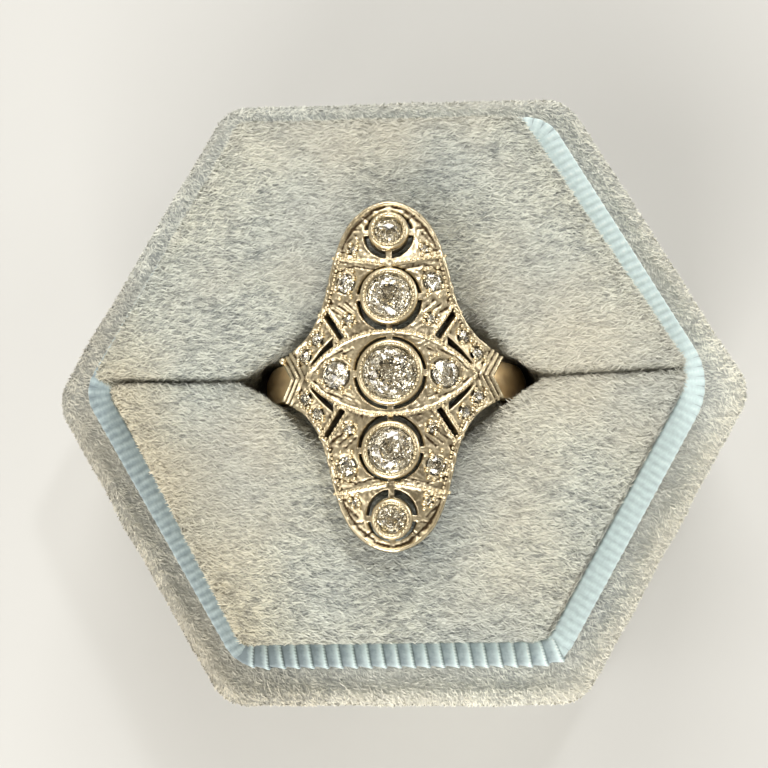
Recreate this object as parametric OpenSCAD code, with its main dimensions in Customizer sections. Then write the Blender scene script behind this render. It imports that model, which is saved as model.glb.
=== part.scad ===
// Long shield-shaped ring with five bezel-set stones, held in the slot of a hexagonal velvet box base.
// The origin is the centre of the base's underside, at rest on a table. Z is up, X runs along the
// slot and Y along the finger. The ring's own modules are drawn with the finger hole's centre at 0.

/* [Box base] */
// Width of the base from point to point
box_w = 55; // [54.6:0.1:58]
// Height of the velvet wall
wall_h = 20; // [17:0.5:26]
// Thickness of the velvet wall
wall_t = 3.35; // [2.8:0.05:3.45]
// Thickness of the floor
floor_t = 2.4; // [1.6:0.1:4]
// Radius of the wall's six upright corners
wall_corner_r = 3.3; // [2:0.1:4.5]

/* [Collar and ribbon] */
// How far the ribbon-covered collar stands above the wall
collar_rise = 5.9; // [4.5:0.1:6.5]
// Thickness of the collar's card
collar_t = 0.9; // [0.6:0.05:1.1]
// Thickness of the ribbon between its ribs
ribbon_t = 0.25; // [0.15:0.05:0.35]
// Height of the ribbon's ribs
rib_h = 0.15; // [0.08:0.01:0.2]
// Length of collar that one rib takes
rib_pitch = 1.15; // [1:0.05:1.6]
// How far the ribbon hangs down the outside of the collar
ribbon_drop = 6.4; // [5:0.1:9]
// How far the ribbon hangs down the inside of the collar
ribbon_turn_in = 3.5; // [2:0.1:5]
// Radius of the collar's upright corners
collar_corner_r = 3; // [2.2:0.1:4]

/* [Cushions] */
// Height of the cushions' crown above the wall
cushion_rise = 10.3; // [9:0.1:10.6]
// How far the cushions bulge over the collar
cushion_bulge = 0.35; // [0:0.05:0.5]
// Width of the rounding along the cushions' upper edges
cushion_round = 1.6; // [1:0.1:2.4]
// Rise of the cushions' middle above that rounding
cushion_crown = 0.35; // [0.1:0.05:0.6]
// Radius of the cushions' outer upright corners
cushion_corner_r = 1.6; // [1:0.1:2.6]
// Radius of the cushions' upright corners at the ends of the slot
slot_corner_r = 0.9; // [0.6:0.1:1.4]
// Gap between the two cushions along the slot
slot_gap = 0.3; // [0.1:0.05:0.6]
// Length of the mouth that the ring holds open
mouth_l = 21.6; // [21:0.1:23]
// Width of that mouth under the middle of the ring
mouth_w = 11.4; // [11:0.1:12.4]
// Depth of the mouth under the crown
mouth_depth = 4.2; // [3.9:0.1:7]

/* [Ring band] */
// Diameter of the finger hole
hole_d = 16.9; // [16.4:0.1:17.2]
// Height of the finger hole's centre above the wall
ring_rise = 3.6; // [3.3:0.1:4.2]
// Thickness of the shank at its back
shank_t = 1.3; // [1:0.05:1.5]
// Width of the shank
shank_w = 2.6; // [2:0.1:2.8]
// How much lower the shank's outer edges are than its middle
shank_crown = 0.4; // [0.2:0.05:0.6]

/* [Ring face] */
// Width of the face across the wings
face_w = 15.8; // [15.5:0.1:16]
// Thickness from the finger hole to the top of the face
head_t = 1.65; // [1.6:0.05:1.9]
// Thickness of the pierced plate
plate_t = 1; // [0.8:0.05:1.1]
// Width of the wall under the plate's edge
gallery_w = 0.6; // [0.4:0.05:0.65]
// Angle at which the two end panels fall away
end_fall = 9.5; // [7:0.5:11]
// Width of the raised rim around the face
rim_w = 0.3; // [0.2:0.05:0.35]
// Height of the raised rim
rim_h = 0.2; // [0.1:0.05:0.3]
// Height of the raised frames and ridges
ridge_h = 0.15; // [0.1:0.05:0.25]
// Width of the raised frames and ridges
ridge_w = 0.3; // [0.2:0.05:0.35]
// Distance between two ridges on a shoulder
ridge_pitch = 0.45; // [0.4:0.05:0.5]

/* [Bezels] */
// Radius of the centre bezel
centre_bezel_r = 2.26; // [2.2:0.01:2.3]
// Radius of the two large bezels
large_bezel_r = 1.98; // [1.9:0.01:2.02]
// Radius of the two small bezels
small_bezel_r = 1.4; // [1.3:0.01:1.45]
// Height of the bezels above the plate
bezel_h = 0.45; // [0.35:0.05:0.6]
// Depth of the bezels below the plate's upper face
bezel_depth = 1.35; // [1.1:0.05:1.4]
// Thickness of a bezel's wall beside its stone
bezel_wall = 0.41; // [0.36:0.01:0.5]
// Metal and gaps between the centre bezel and a large one
centre_band = 1.02; // [0.95:0.01:1.2]
// Metal and gaps between a large bezel and a small one
end_band = 1.22; // [1.15:0.01:1.3]
// Metal and gap beyond a small bezel
end_margin = 0.89; // [0.8:0.01:1]

/* [Pierced work] */
// Width of the gaps round the bezels
ring_gap = 0.26; // [0.2:0.01:0.3]
// Extra width of the gaps on the small bezels
small_gap_extra = 0.1; // [0:0.01:0.15]
// How much further the gaps of the large bezels reach towards the middle of the face
large_gap_shift = 0.1; // [0:0.01:0.15]
// How much further the gaps of the small bezels reach towards the middle of the face
small_gap_shift = 0.2; // [0:0.01:0.25]
// Width of the bridges that hold the bezels
bridge_w = 0.4; // [0.3:0.05:0.6]
// Width of the four straight slots
slot_w = 0.4; // [0.3:0.05:0.45]
// Width of a curved slit at its wide end
slit_wide = 0.5; // [0.35:0.05:0.55]
// Width of a curved slit at its narrow end
slit_narrow = 0.14; // [0.1:0.02:0.2]

/* [Stones] */
// Radius of the two stones beside the centre
side_stone_r = 0.95; // [0.85:0.01:1]
// Radius of the four stones beside the large bezels
flank_stone_r = 0.65; // [0.55:0.01:0.68]
// Radius of the eight stones in the wings
wing_stone_r = 0.45; // [0.38:0.01:0.48]
// Radius of the four stones at the inner corners
corner_stone_r = 0.36; // [0.3:0.01:0.4]
// Radius of the four stones on the end panels
end_stone_r = 0.3; // [0.25:0.01:0.34]
// Clearance round each stone in its seat
seat_gap = 0.03; // [0.02:0.005:0.05]
// How far the bead-set stones sit below the plate's face
bead_sink = 0.06; // [0.02:0.01:0.1]

/* [Hidden] */
$fn = 96;

// Clear space between the nested hexagons, and between soft pieces and the metal
nest_gap = 0.2;
soft_gap = 0.3;
card_gap = 0.05;
// How much narrower a bezel is at its top, and how far its lower end stays from the finger hole
bezel_taper = 0.04;
hole_clear = 0.05;
// Angle that the shank's ends run in under the wings, and thickness it has to spare inside
shank_tuck = 5;
shank_spare = 0.3;
corner_steps = 6;
// Length by which a cutting shape runs past what it cuts
spare = 2;

// Apothems of the nested hexagons, from the outside in
wall_out = box_w / 2 * cos(30);
wall_in = wall_out - wall_t;
ribbon_out = wall_in - nest_gap;
collar_out = ribbon_out - rib_h - ribbon_t - card_gap;
collar_in = collar_out - collar_t;
ribbon_in = collar_in - card_gap - ribbon_t - rib_h;
cushion_out = ribbon_in - nest_gap;

// Levels
ribbon_top = wall_h + collar_rise;
collar_top = ribbon_top - rib_h - ribbon_t - card_gap;
cushion_top = wall_h + cushion_rise;
ring_z = wall_h + ring_rise;

// Places along the face, from its centre to its ends
hole_r = hole_d / 2;
face_r = hole_r + head_t;
large_v = centre_bezel_r + large_bezel_r + centre_band;
small_v = large_v + large_bezel_r + small_bezel_r + end_band;
half_l = small_v + small_bezel_r + end_margin;
half_w = face_w / 2;
// Depth below the face that is clear of all metal over the finger hole
through = head_t + spare / 4;
fall_start = large_v + large_bezel_r + ring_gap;

// One quarter of the face's outline: share of the half length, share of the half width
face_outline = [
    [1.000, 0.000], [0.976, 0.150], [0.932, 0.262], [0.866, 0.358], [0.774, 0.432], [0.658, 0.492],
    [0.518, 0.548], [0.395, 0.598], [0.288, 0.680], [0.202, 0.797], [0.114, 0.995]];
// Where the notch between the two tips of a wing ends, as a share of the half width
notch_share = 0.905;

// Marquise panel round the centre bezel: half its length across the face, and half its width, which
// takes a share of the band beyond the bezel
panel_share = 0.62;
panel_u = 0.745 * half_w;
panel_v = centre_bezel_r + panel_share * centre_band;
panel_r = (panel_u ^ 2 + panel_v ^ 2) / (2 * panel_v);

// Raised bars between the panels: share of the half width at the crease, then share of the half
// width and of the half length at the outer end
bar_from = 0.05;
bar_to = [0.48, 0.665];

// Straight slots and curved slits: share of the half width and of the half length at each end
slot_from = [0.414, 0.202];
slot_to = [0.575, 0.361];
slit_margin = 0.04;
slit_from_u = 0.500;
slit_to_u = 0.712;

// Stones set with beads: share of the half width and of the half length
side_place = [0.482, 0];
flank_place = [0.389, 0.519];
wing_place_outer = [0.766, 0.123];
wing_place_inner = [0.652, 0.215];
corner_place = [0.364, 0.309];
end_place = [0.320, 0.716];

// Signs of the four quarters, anticlockwise from the upper right
quarters = [[1, 1], [-1, 1], [-1, -1], [1, -1]];

// Cut of a stone, as shares of its girdle radius
crown_share = 0.3;
table_share = 0.52;
star_share = 0.75;
girdle_share = 0.06;
pavilion_share = 0.8;
culet_share = 0.08;
single_pavilion_share = 0.77;
// Hole under a stone, as a share of its radius
seat_hole_share = 0.55;

function unit(v) = v / norm(v);
function hexagon(apothem) = [for (k = [0:5]) apothem / cos(30) * [cos(60 * k), sin(60 * k)]];

// Points of a convex outline, listed anticlockwise, with its corners rounded; radii may be one
// radius for all corners or a list with one for each
function rounded(corners, radii, steps) = [
    for (i = [0:len(corners) - 1])
        let (
            r = is_num(radii) ? radii : radii[i],
            here = corners[i],
            back = unit(corners[(i + len(corners) - 1) % len(corners)] - here),
            on = unit(corners[(i + 1) % len(corners)] - here),
            half = acos(back * on) / 2,
            centre = here + unit(back + on) * r / sin(half),
            start = here + back * r / tan(half) - centre,
            first = atan2(start.y, start.x)
        )
        for (k = [0:steps]) let (a = first + (180 - 2 * half) * k / steps) centre + r * [cos(a), sin(a)]];

// Points of a closed outline, listed anticlockwise, moved inwards by d
function inset(points, d) = [
    for (i = [0:len(points) - 1])
        let (
            n = len(points),
            a = unit(points[i] - points[(i + n - 1) % n]),
            b = unit(points[(i + 1) % n] - points[i]),
            out_a = [a.y, -a.x],
            out_b = [b.y, -b.x]
        )
        points[i] - (out_a + out_b) * d / (1 + out_a * out_b)];

// Triangles of a side wall between two rings of points, the first index of each given
function band(low, high, n) = [
    for (i = [0:n - 1]) let (j = (i + 1) % n)
        each [[low + i, high + j, low + j], [low + i, high + i, high + j]]];
function flipped(faces) = [for (f = faces) [for (i = [len(f) - 1:-1:0]) f[i]]];

// A closed solid through a stack of rings from the bottom up, each listed anticlockwise from above
module stacked(rings) {
    n = len(rings[0]);
    last = len(rings) - 1;
    polyhedron(
        points = [for (ring = rings) each ring],
        faces = concat(
            [[for (i = [0:n - 1]) i]],
            [for (k = [0:last - 1]) each band(k * n, (k + 1) * n, n)],
            [[for (i = [n - 1:-1:0]) last * n + i]]));
}

// A closed tube through a loop of sections, which run from outside over the top when the loop
// itself runs anticlockwise from above
module looped(sections) {
    n = len(sections[0]);
    count = len(sections);
    polyhedron(
        points = [for (s = sections) each s],
        faces = flipped([for (k = [0:count - 1]) each band(k * n, (k + 1) % count * n, n)]));
}

// A hexagonal tube between two apothems, with its own corner radius outside and inside
module hexagonal_tube(out_apothem, out_corner_r, in_apothem, in_corner_r, height) {
    linear_extrude(height) difference() {
        polygon(rounded(hexagon(out_apothem), out_corner_r, corner_steps));
        polygon(rounded(hexagon(in_apothem), in_corner_r, corner_steps));
    }
}

// Stiff tray of card under velvet: a floor with a wall that leaves a ledge round the collar
module base_shell() {
    color([0.71, 0.75, 0.78]) {
        linear_extrude(floor_t) polygon(rounded(hexagon(wall_out), wall_corner_r, corner_steps));
        hexagonal_tube(wall_out, wall_corner_r, wall_in, collar_corner_r, wall_h);
    }
}

// Card collar that stands inside the wall and rises above it
module collar() {
    color([0.62, 0.72, 0.78])
        translate([0, 0, floor_t])
            hexagonal_tube(collar_out, collar_corner_r, collar_in, collar_corner_r - collar_t,
                           collar_top - floor_t);
}

// Path of the ribbon round the collar: evenly spaced points with their outward direction
collar_mid = (collar_out + collar_in) / 2;
mid_corner_r = collar_corner_r - collar_t / 2;
flat_l = 2 * (collar_mid - mid_corner_r) * tan(30);
bend_l = mid_corner_r * PI / 3;
rib_count = round(6 * (flat_l + bend_l) / rib_pitch);
function path_point(s) =
    let (
        side = floor(s / (flat_l + bend_l)),
        rest = s - side * (flat_l + bend_l),
        turn = rest < flat_l ? 0 : (rest - flat_l) / bend_l * 60,
        a = 60 * side - 90,
        along = min(rest, flat_l) - flat_l / 2,
        pivot = (collar_mid - mid_corner_r) * [cos(a), sin(a)] + along * [-sin(a), cos(a)],
        out = [cos(a + turn), sin(a + turn)]
    )
    [pivot + mid_corner_r * out, out];

// Section of the folded ribbon: distance outwards from the card's middle, height below the fold
function ribbon_section(puff) =
    let (
        outer = collar_t / 2 + card_gap + ribbon_t + puff,
        inner = collar_t / 2 + card_gap,
        fold = ribbon_t + puff
    )
    [[outer, -ribbon_drop], [outer, -fold], [outer - fold, 0], [fold - outer, 0], [-outer, -fold],
     [-outer, -ribbon_turn_in], [-inner, -ribbon_turn_in], [-inner, -rib_h - ribbon_t],
     [inner, -rib_h - ribbon_t], [inner, -ribbon_drop]];

// Ribbed ribbon folded over the collar's edge, a crest and a valley for each rib
module ribbon() {
    turns = 2 * rib_count;
    color([0.65, 0.79, 0.87])
        looped([
            for (k = [0:turns - 1])
                let (
                    place = path_point(6 * (flat_l + bend_l) * k / turns),
                    puff = k % 2 == 0 ? rib_h : 0
                )
                [for (p = ribbon_section(puff))
                    let (low = p.y == 0 ? puff - rib_h : 0)
                    concat(place[0] + place[1] * p.x, ribbon_top + p.y + low)]]);
}

// Levels of a cushion: height, outward bulge of its hexagonal sides, inset of its slot side. The
// sides bulge above the ribbon, turn in along the rounded edge and rise a little to the middle.
edge_z = cushion_top - cushion_crown;
cushion_levels = [
    [floor_t, 0, 0],
    [ribbon_top, 0, 0],
    [ribbon_top + 0.35 * (cushion_top - ribbon_top), cushion_bulge, 0],
    [edge_z - 0.8 * cushion_round, cushion_bulge, 0],
    [edge_z - 0.3 * cushion_round, cushion_bulge - 0.22 * cushion_round, 0.12 * cushion_round],
    [edge_z, cushion_bulge - 0.8 * cushion_round, 0.6 * cushion_round],
    [edge_z + 0.6 * cushion_crown, -0.2 * cushion_out, 0.17 * cushion_out],
    [cushion_top, -0.42 * cushion_out, 0.34 * cushion_out]];

// Outline of the back cushion at one level
function half_hexagon(apothem, side) =
    let (reach = apothem / cos(30) - side / tan(60), high = apothem / cos(30) * sin(60))
    [[reach, side], [apothem / cos(30) / 2, high], [-apothem / cos(30) / 2, high], [-reach, side]];

// Half of the padded insert, on the back side of the slot
module cushion() {
    radii = [slot_corner_r, cushion_corner_r, cushion_corner_r, slot_corner_r];
    difference() {
        stacked([
            for (level = cushion_levels)
                [for (p = rounded(half_hexagon(cushion_out + level[1], slot_gap / 2 + level[2]),
                                  radii, corner_steps))
                    concat(p, level[0])]]);
        ring_mouth();
        translate([0, 0, ring_z]) shank_channel();
    }
}

// Room that the ring's wings hold open between the cushions, in plan a pointed oval
module ring_mouth() {
    steps = 12;
    half = [
        for (k = [0:steps]) let (t = 1 - 2 * k / steps)
            [t * mouth_l / 2, mouth_w / 2 * (1 - t ^ 2) ^ 1.5]];
    translate([0, 0, cushion_top - mouth_depth])
        linear_extrude(mouth_depth + spare)
            polygon(concat(half, [for (k = [steps - 1:-1:1]) [half[k].x, -half[k].y]]));
}

// Room that the shank pushes open lower down; the padding meets again inside the finger hole
module shank_channel() {
    rotate([-90, 0, 0]) rotate_extrude()
        translate([hole_r - soft_gap, -shank_w / 2 - soft_gap])
            square([shank_t + 2 * soft_gap, shank_w + 2 * soft_gap]);
}

module cushion_back() {
    color([0.78, 0.8, 0.79]) cushion();
}

module cushion_front() {
    color([0.76, 0.78, 0.77]) mirror([0, 1, 0]) cushion();
}

// Whole outline of the face, anticlockwise, moved inwards by d
function quarter_outline() = [for (row = face_outline) [row[1] * half_w, row[0] * half_l]];
function face_points(d) =
    let (
        q = quarter_outline(),
        last = len(q) - 1,
        notch = [notch_share * half_w, 0],
        upper_right = [for (i = [last:-1:0]) q[i]],
        upper_left = [for (i = [1:last]) [-q[i].x, q[i].y]],
        lower_left = [for (i = [last:-1:0]) [-q[i].x, -q[i].y]],
        lower_right = [for (i = [1:last]) [q[i].x, -q[i].y]]
    )
    inset(concat([notch], upper_right, upper_left, [-notch], lower_left, lower_right), d);

// A barrel round the finger: level over the middle of the face, falling away at both ends
module barrel(r) {
    reach = half_l + spare;
    fall = (reach - fall_start) * tan(end_fall);
    rotate([-90, 0, 0]) rotate_extrude()
        polygon([[0, -reach], [r - fall, -reach], [r, -fall_start],
                 [r, fall_start], [r - fall, reach], [0, reach]]);
}

// A place on the face: u across it, v along it, turned so that Z stands on the surface
module on_face(u, v) {
    past = max(abs(v) - fall_start, 0);
    rotate([0, asin(u / face_r), 0])
        translate([0, v, face_r - past * tan(end_fall)])
            rotate([past > 0 ? -sign(v) * end_fall : 0, 0, 0])
                children();
}

// The upright prism of an outline, over the upper half of the barrel
module above_finger() {
    linear_extrude(face_r + spare) children();
}

// The marquise panel in plan, its two arcs moved outwards by d
module marquise(d) {
    intersection_for (s = [-1, 1]) translate([0, s * (panel_v - panel_r)]) circle(panel_r + d);
}

// Raised frame of the marquise panel, bars between the panels and ridges on the shoulders
module raised_lines() {
    difference() {
        marquise(ridge_w / 2);
        marquise(-ridge_w / 2);
    }
    for (q = quarters) in_quarter(q) {
        inner = [bar_from * half_w, fall_start];
        outer = [bar_to.x * half_w, bar_to.y * half_l];
        polygon([inner, outer, outer + [0, ridge_w], inner + [0, ridge_w]]);
        for (k = [0:2]) shoulder_ridge((0.5 + k) * ridge_pitch);
    }
}

// One ridge beside the notch of a wing, at a distance from the notch's edge
module shoulder_ridge(distance) {
    wing = face_outline[len(face_outline) - 1];
    notch = [notch_share * half_w, 0];
    run = unit([wing[1] * half_w, wing[0] * half_l] - notch) * face_w / 5;
    start = notch - [distance, 0];
    polygon([start, start + run, start + run - [ridge_w, 0], start - [ridge_w, 0]]);
}

module in_quarter(q) {
    mirror([q.x < 0 ? 1 : 0, 0, 0]) mirror([0, q.y < 0 ? 1 : 0, 0]) children();
}

// Pierced plate with its raised rim and lines, hollowed from below inside its edge wall
module face_plate() {
    difference() {
        union() {
            intersection() {
                barrel(face_r);
                above_finger() polygon(face_points(0));
            }
            intersection() {
                barrel(face_r + rim_h);
                above_finger() difference() {
                    polygon(face_points(0));
                    polygon(face_points(rim_w));
                }
            }
            intersection() {
                barrel(face_r + ridge_h);
                above_finger() intersection() {
                    raised_lines();
                    polygon(face_points(rim_w / 2));
                }
            }
        }
        intersection() {
            barrel(face_r - plate_t);
            above_finger() polygon(face_points(gallery_w));
        }
    }
}

// The five bezels: place along the face, outer radius, width and shift of the gaps round it
bezels = [
    [0, centre_bezel_r, ring_gap, 0],
    [large_v, large_bezel_r, ring_gap, large_gap_shift],
    [-large_v, large_bezel_r, ring_gap, large_gap_shift],
    [small_v, small_bezel_r, ring_gap + small_gap_extra, small_gap_shift],
    [-small_v, small_bezel_r, ring_gap + small_gap_extra, small_gap_shift]];

// How far a bezel reaches below the plate's face without entering the finger hole
function cup_depth(b) =
    let (past = max(abs(b[0]) - fall_start, 0), tilt = past > 0 ? end_fall : 0)
    min(bezel_depth, face_r - past * tan(end_fall) - hole_r - b[1] * sin(tilt) - hole_clear);

module bezel_cups() {
    for (b = bezels)
        on_face(0, b[0])
            translate([0, 0, -cup_depth(b)])
                cylinder(h = cup_depth(b) + bezel_h, r1 = b[1], r2 = b[1] - bezel_taper);
}

// Four gaps cut through the plate round each bezel, wider towards the middle of the face, with a
// bridge between each two
module bezel_gaps() {
    for (b = bezels)
        on_face(0, b[0])
            translate([0, 0, -through])
                linear_extrude(through + bezel_h) difference() {
                    translate([0, -sign(b[0]) * b[3]]) circle(b[1] + b[2]);
                    circle(b[1] - bezel_taper);
                    for (a = [0, 90]) rotate(a) square([3 * b[1], bridge_w], center = true);
                }
}

// Place across the face just outside the marquise panel's frame
function frame_edge(u) =
    let (r = panel_r + ridge_w / 2 + slit_margin) [u, sqrt(r ^ 2 - u ^ 2) - panel_r + panel_v];

// Curved slit along the panel's frame, wide at its inner end and narrow near the panel's tip
module slit() {
    steps = 5;
    centre = [0, panel_v - panel_r];
    rows = [
        for (k = [0:steps])
            let (u = half_w * (slit_from_u + (slit_to_u - slit_from_u) * k / steps), p = frame_edge(u))
            [p, p + unit(p - centre) * (slit_wide + (slit_narrow - slit_wide) * k / steps)]];
    polygon(concat([for (row = rows) row[0]], [for (k = [steps:-1:0]) rows[k][1]]));
}

// Straight slot between a wing and the side of a large bezel
module slot() {
    from = [slot_from.x * half_w, slot_from.y * half_l];
    to = [slot_to.x * half_w, slot_to.y * half_l];
    way = to - from;
    translate((from + to) / 2) rotate(atan2(way.y, way.x)) square([norm(way), slot_w], center = true);
}

module pierced_gaps() {
    bezel_gaps();
    linear_extrude(face_r + spare) for (q = quarters) in_quarter(q) {
        slit();
        slot();
    }
}

// Every stone: share of the half width, place along the face, radius, depth below the plate's face
function at_share(place, q) = [place.x * q.x * half_w, place.y * q.y * half_l];
function stone_row(place, q, r) = concat(at_share(place, q), [r, bead_sink]);
bezel_stones = [for (b = bezels) [0, b[0], b[1] - bezel_wall, 0]];
side_stones = [for (s = [1, -1]) stone_row(side_place, [s, 1], side_stone_r)];
flank_stones = [for (q = quarters) stone_row(flank_place, q, flank_stone_r)];
wing_stones = [for (q = quarters) each [stone_row(wing_place_outer, q, wing_stone_r),
                                        stone_row(wing_place_inner, q, wing_stone_r)]];
corner_stones = [for (q = quarters) stone_row(corner_place, q, corner_stone_r)];
end_stones = [for (q = quarters) stone_row(end_place, q, end_stone_r)];

// Seat of a bezel stone, with a lip over its girdle, and seat of a bead-set stone
function seat_profile(r) =
    let (hole = seat_hole_share * r, slope = (1 - culet_share) / pavilion_share)
    [[0, -through], [hole, -through],
     [hole, -girdle_share * r - (r + seat_gap - hole) / slope], [r + seat_gap, -girdle_share * r]];
module bezel_seat(r) {
    rotate_extrude() polygon(concat(seat_profile(r), [
        [r + seat_gap, seat_gap], [r - seat_gap, 4 * seat_gap],
        [r + bezel_wall / 3, bezel_h + seat_gap], [0, bezel_h + seat_gap]]));
}
module bead_seat(r) {
    rotate_extrude() polygon(concat(seat_profile(r), [[r + seat_gap, spare], [0, spare]]));
}

module all_seats() {
    for (s = bezel_stones) on_face(s[0], s[1]) bezel_seat(s[2]);
    for (s = concat(side_stones, flank_stones, wing_stones, corner_stones, end_stones))
        on_face(s[0], s[1]) translate([0, 0, -s[3]]) bead_seat(s[2]);
}

// Band round the finger, open under the face; its ends run in under the wings. The finger hole is
// cut through everything afterwards and takes the band's spare thickness.
module shank() {
    start = acos(notch_share * half_w / face_r) + shank_tuck;
    crown_r = ((shank_w / 2) ^ 2 + shank_crown ^ 2) / (2 * shank_crown);
    rotate([-90, 0, 0]) rotate(-start) rotate_extrude(angle = 180 + 2 * start) intersection() {
        translate([hole_r - shank_spare, -shank_w / 2]) square([shank_t + shank_spare, shank_w]);
        translate([hole_r + shank_t - crown_r, 0]) circle(crown_r);
    }
}

// The whole metal ring: face, bezels and shank soldered into one
module ring_mount() {
    color([0.8, 0.77, 0.7])
        translate([0, 0, ring_z])
            difference() {
                union() {
                    face_plate();
                    bezel_cups();
                    shank();
                }
                rotate([-90, 0, 0]) cylinder(h = 2 * (half_l + spare), r = hole_r, center = true);
                all_seats();
                pierced_gaps();
            }
}

// Rings of points of a cut stone, from the culet up; its girdle's upper edge is at height 0
function circle_points(n, r, z, turn) = [
    for (k = [0:n - 1]) let (a = 360 / n * k + turn) [r * cos(a), r * sin(a), z]];

// Old brilliant cut: eight main facets above and below, with stars and paired girdle facets
module brilliant(r) {
    crown = crown_share * r;
    low = -girdle_share * r;
    star_z = crown - (star_share * cos(22.5) - table_share) * r * crown_share / (1 - table_share);
    points = concat(
        circle_points(8, culet_share * r, low - pavilion_share * r, 0),
        circle_points(16, r, low, 0),
        circle_points(16, r, 0, 0),
        circle_points(8, star_share * r, star_z, 22.5),
        circle_points(8, table_share * r, crown, 0));
    culet = 0;
    under = 8;
    over = 24;
    star = 40;
    table = 48;
    polyhedron(points, concat(
        flipped([[for (k = [7:-1:0]) culet + k], [for (k = [0:7]) table + k]]),
        band(under, over, 16),
        flipped([for (k = [0:7]) let (n = (k + 1) % 8) each [
            [culet + k, culet + n, under + 2 * k + 1],
            [culet + k, under + 2 * k + 1, under + 2 * k],
            [culet + n, under + 2 * n, under + 2 * k + 1],
            [over + 2 * k, over + 2 * k + 1, star + k],
            [over + 2 * k + 1, over + 2 * n, star + k],
            [star + k, over + 2 * n, table + n],
            [table + k, over + 2 * k, star + k],
            [table + k, star + k, table + n]]])));
}

// Single cut for the small stones: table, eight crown facets and eight pavilion facets
module single_cut(r) {
    low = -girdle_share * r;
    stacked([
        circle_points(8, culet_share * r, low - single_pavilion_share * r, 0),
        circle_points(8, r, low, 0),
        circle_points(8, r, 0, 0),
        circle_points(8, table_share * r, crown_share * r, 0)]);
}

module set_stone(row, full_cut) {
    color([0.88, 0.93, 0.95, 0.6])
        translate([0, 0, ring_z])
            on_face(row[0], row[1])
                translate([0, 0, -row[3]])
                    if (full_cut) brilliant(row[2]); else single_cut(row[2]);
}

module stone_centre() set_stone(bezel_stones[0], true);
module stone_large_upper() set_stone(bezel_stones[1], true);
module stone_large_lower() set_stone(bezel_stones[2], true);
module stone_small_upper() set_stone(bezel_stones[3], true);
module stone_small_lower() set_stone(bezel_stones[4], true);
module stone_side_right() set_stone(side_stones[0], true);
module stone_side_left() set_stone(side_stones[1], true);
module flank_stone(k) set_stone(flank_stones[k - 1], false);
module wing_stone(k) set_stone(wing_stones[k - 1], false);
module corner_stone(k) set_stone(corner_stones[k - 1], false);
module end_stone(k) set_stone(end_stones[k - 1], false);

base_shell();
collar();
ribbon();
cushion_back();
cushion_front();
ring_mount();
stone_centre();
stone_large_upper();
stone_large_lower();
stone_small_upper();
stone_small_lower();
stone_side_right();
stone_side_left();
flank_stone(1);  // flank_stone_1
flank_stone(2);  // flank_stone_2
flank_stone(3);  // flank_stone_3
flank_stone(4);  // flank_stone_4
wing_stone(1);  // wing_stone_1
wing_stone(2);  // wing_stone_2
wing_stone(3);  // wing_stone_3
wing_stone(4);  // wing_stone_4
wing_stone(5);  // wing_stone_5
wing_stone(6);  // wing_stone_6
wing_stone(7);  // wing_stone_7
wing_stone(8);  // wing_stone_8
corner_stone(1);  // corner_stone_1
corner_stone(2);  // corner_stone_2
corner_stone(3);  // corner_stone_3
corner_stone(4);  // corner_stone_4
end_stone(1);  // end_stone_1
end_stone(2);  // end_stone_2
end_stone(3);  // end_stone_3
end_stone(4);  // end_stone_4
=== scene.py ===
import bpy, bmesh, math
import numpy as np
from mathutils import Matrix, Vector, noise


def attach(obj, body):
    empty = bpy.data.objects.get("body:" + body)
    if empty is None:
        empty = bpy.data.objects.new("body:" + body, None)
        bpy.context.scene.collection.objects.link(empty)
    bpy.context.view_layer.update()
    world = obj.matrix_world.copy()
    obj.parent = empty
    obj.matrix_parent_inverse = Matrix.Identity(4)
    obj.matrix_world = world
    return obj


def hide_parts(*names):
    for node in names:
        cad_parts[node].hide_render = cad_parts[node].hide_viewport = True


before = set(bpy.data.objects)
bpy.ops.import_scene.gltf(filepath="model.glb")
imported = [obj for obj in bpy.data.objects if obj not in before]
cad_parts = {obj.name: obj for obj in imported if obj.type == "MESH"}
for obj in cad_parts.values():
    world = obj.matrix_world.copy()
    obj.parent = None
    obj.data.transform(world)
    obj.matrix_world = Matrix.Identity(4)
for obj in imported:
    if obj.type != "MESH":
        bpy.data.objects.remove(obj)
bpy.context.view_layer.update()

mm = 0.001


# helpers for meshes and paths, which are written in millimetres

def addObject(name, data):
    thing = bpy.data.objects.new(name, data)
    bpy.context.scene.collection.objects.link(thing)
    return thing


def discard(*objects):
    for thing in objects:
        bpy.data.objects.remove(thing, do_unlink=True)


def meshPiece(name, verts, faces, material):
    data = bpy.data.meshes.new(name)
    data.from_pydata([tuple(c * mm for c in v) for v in verts], [], faces)
    data.polygons.foreach_set("use_smooth", [True] * len(data.polygons))
    data.materials.append(material)
    return addObject(name, data)


def mark(piece, name, values):
    # one number for each vertex, for a tree or a material to read
    piece.data.attributes.new(name, "FLOAT", "POINT").data.foreach_set("value", values)


def faceOutwards(piece):
    b = bmesh.new()
    b.from_mesh(piece.data)
    bmesh.ops.remove_doubles(b, verts=b.verts, dist=1e-7)
    bmesh.ops.recalc_face_normals(b, faces=b.faces)
    b.to_mesh(piece.data)
    b.free()


def joinPieces(main, extra):
    # merge a grown mesh into its host, so that the two stay one piece
    b = bmesh.new()
    b.from_mesh(main.data)
    b.from_mesh(extra.data)
    b.to_mesh(main.data)
    b.free()
    discard(extra)


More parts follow.
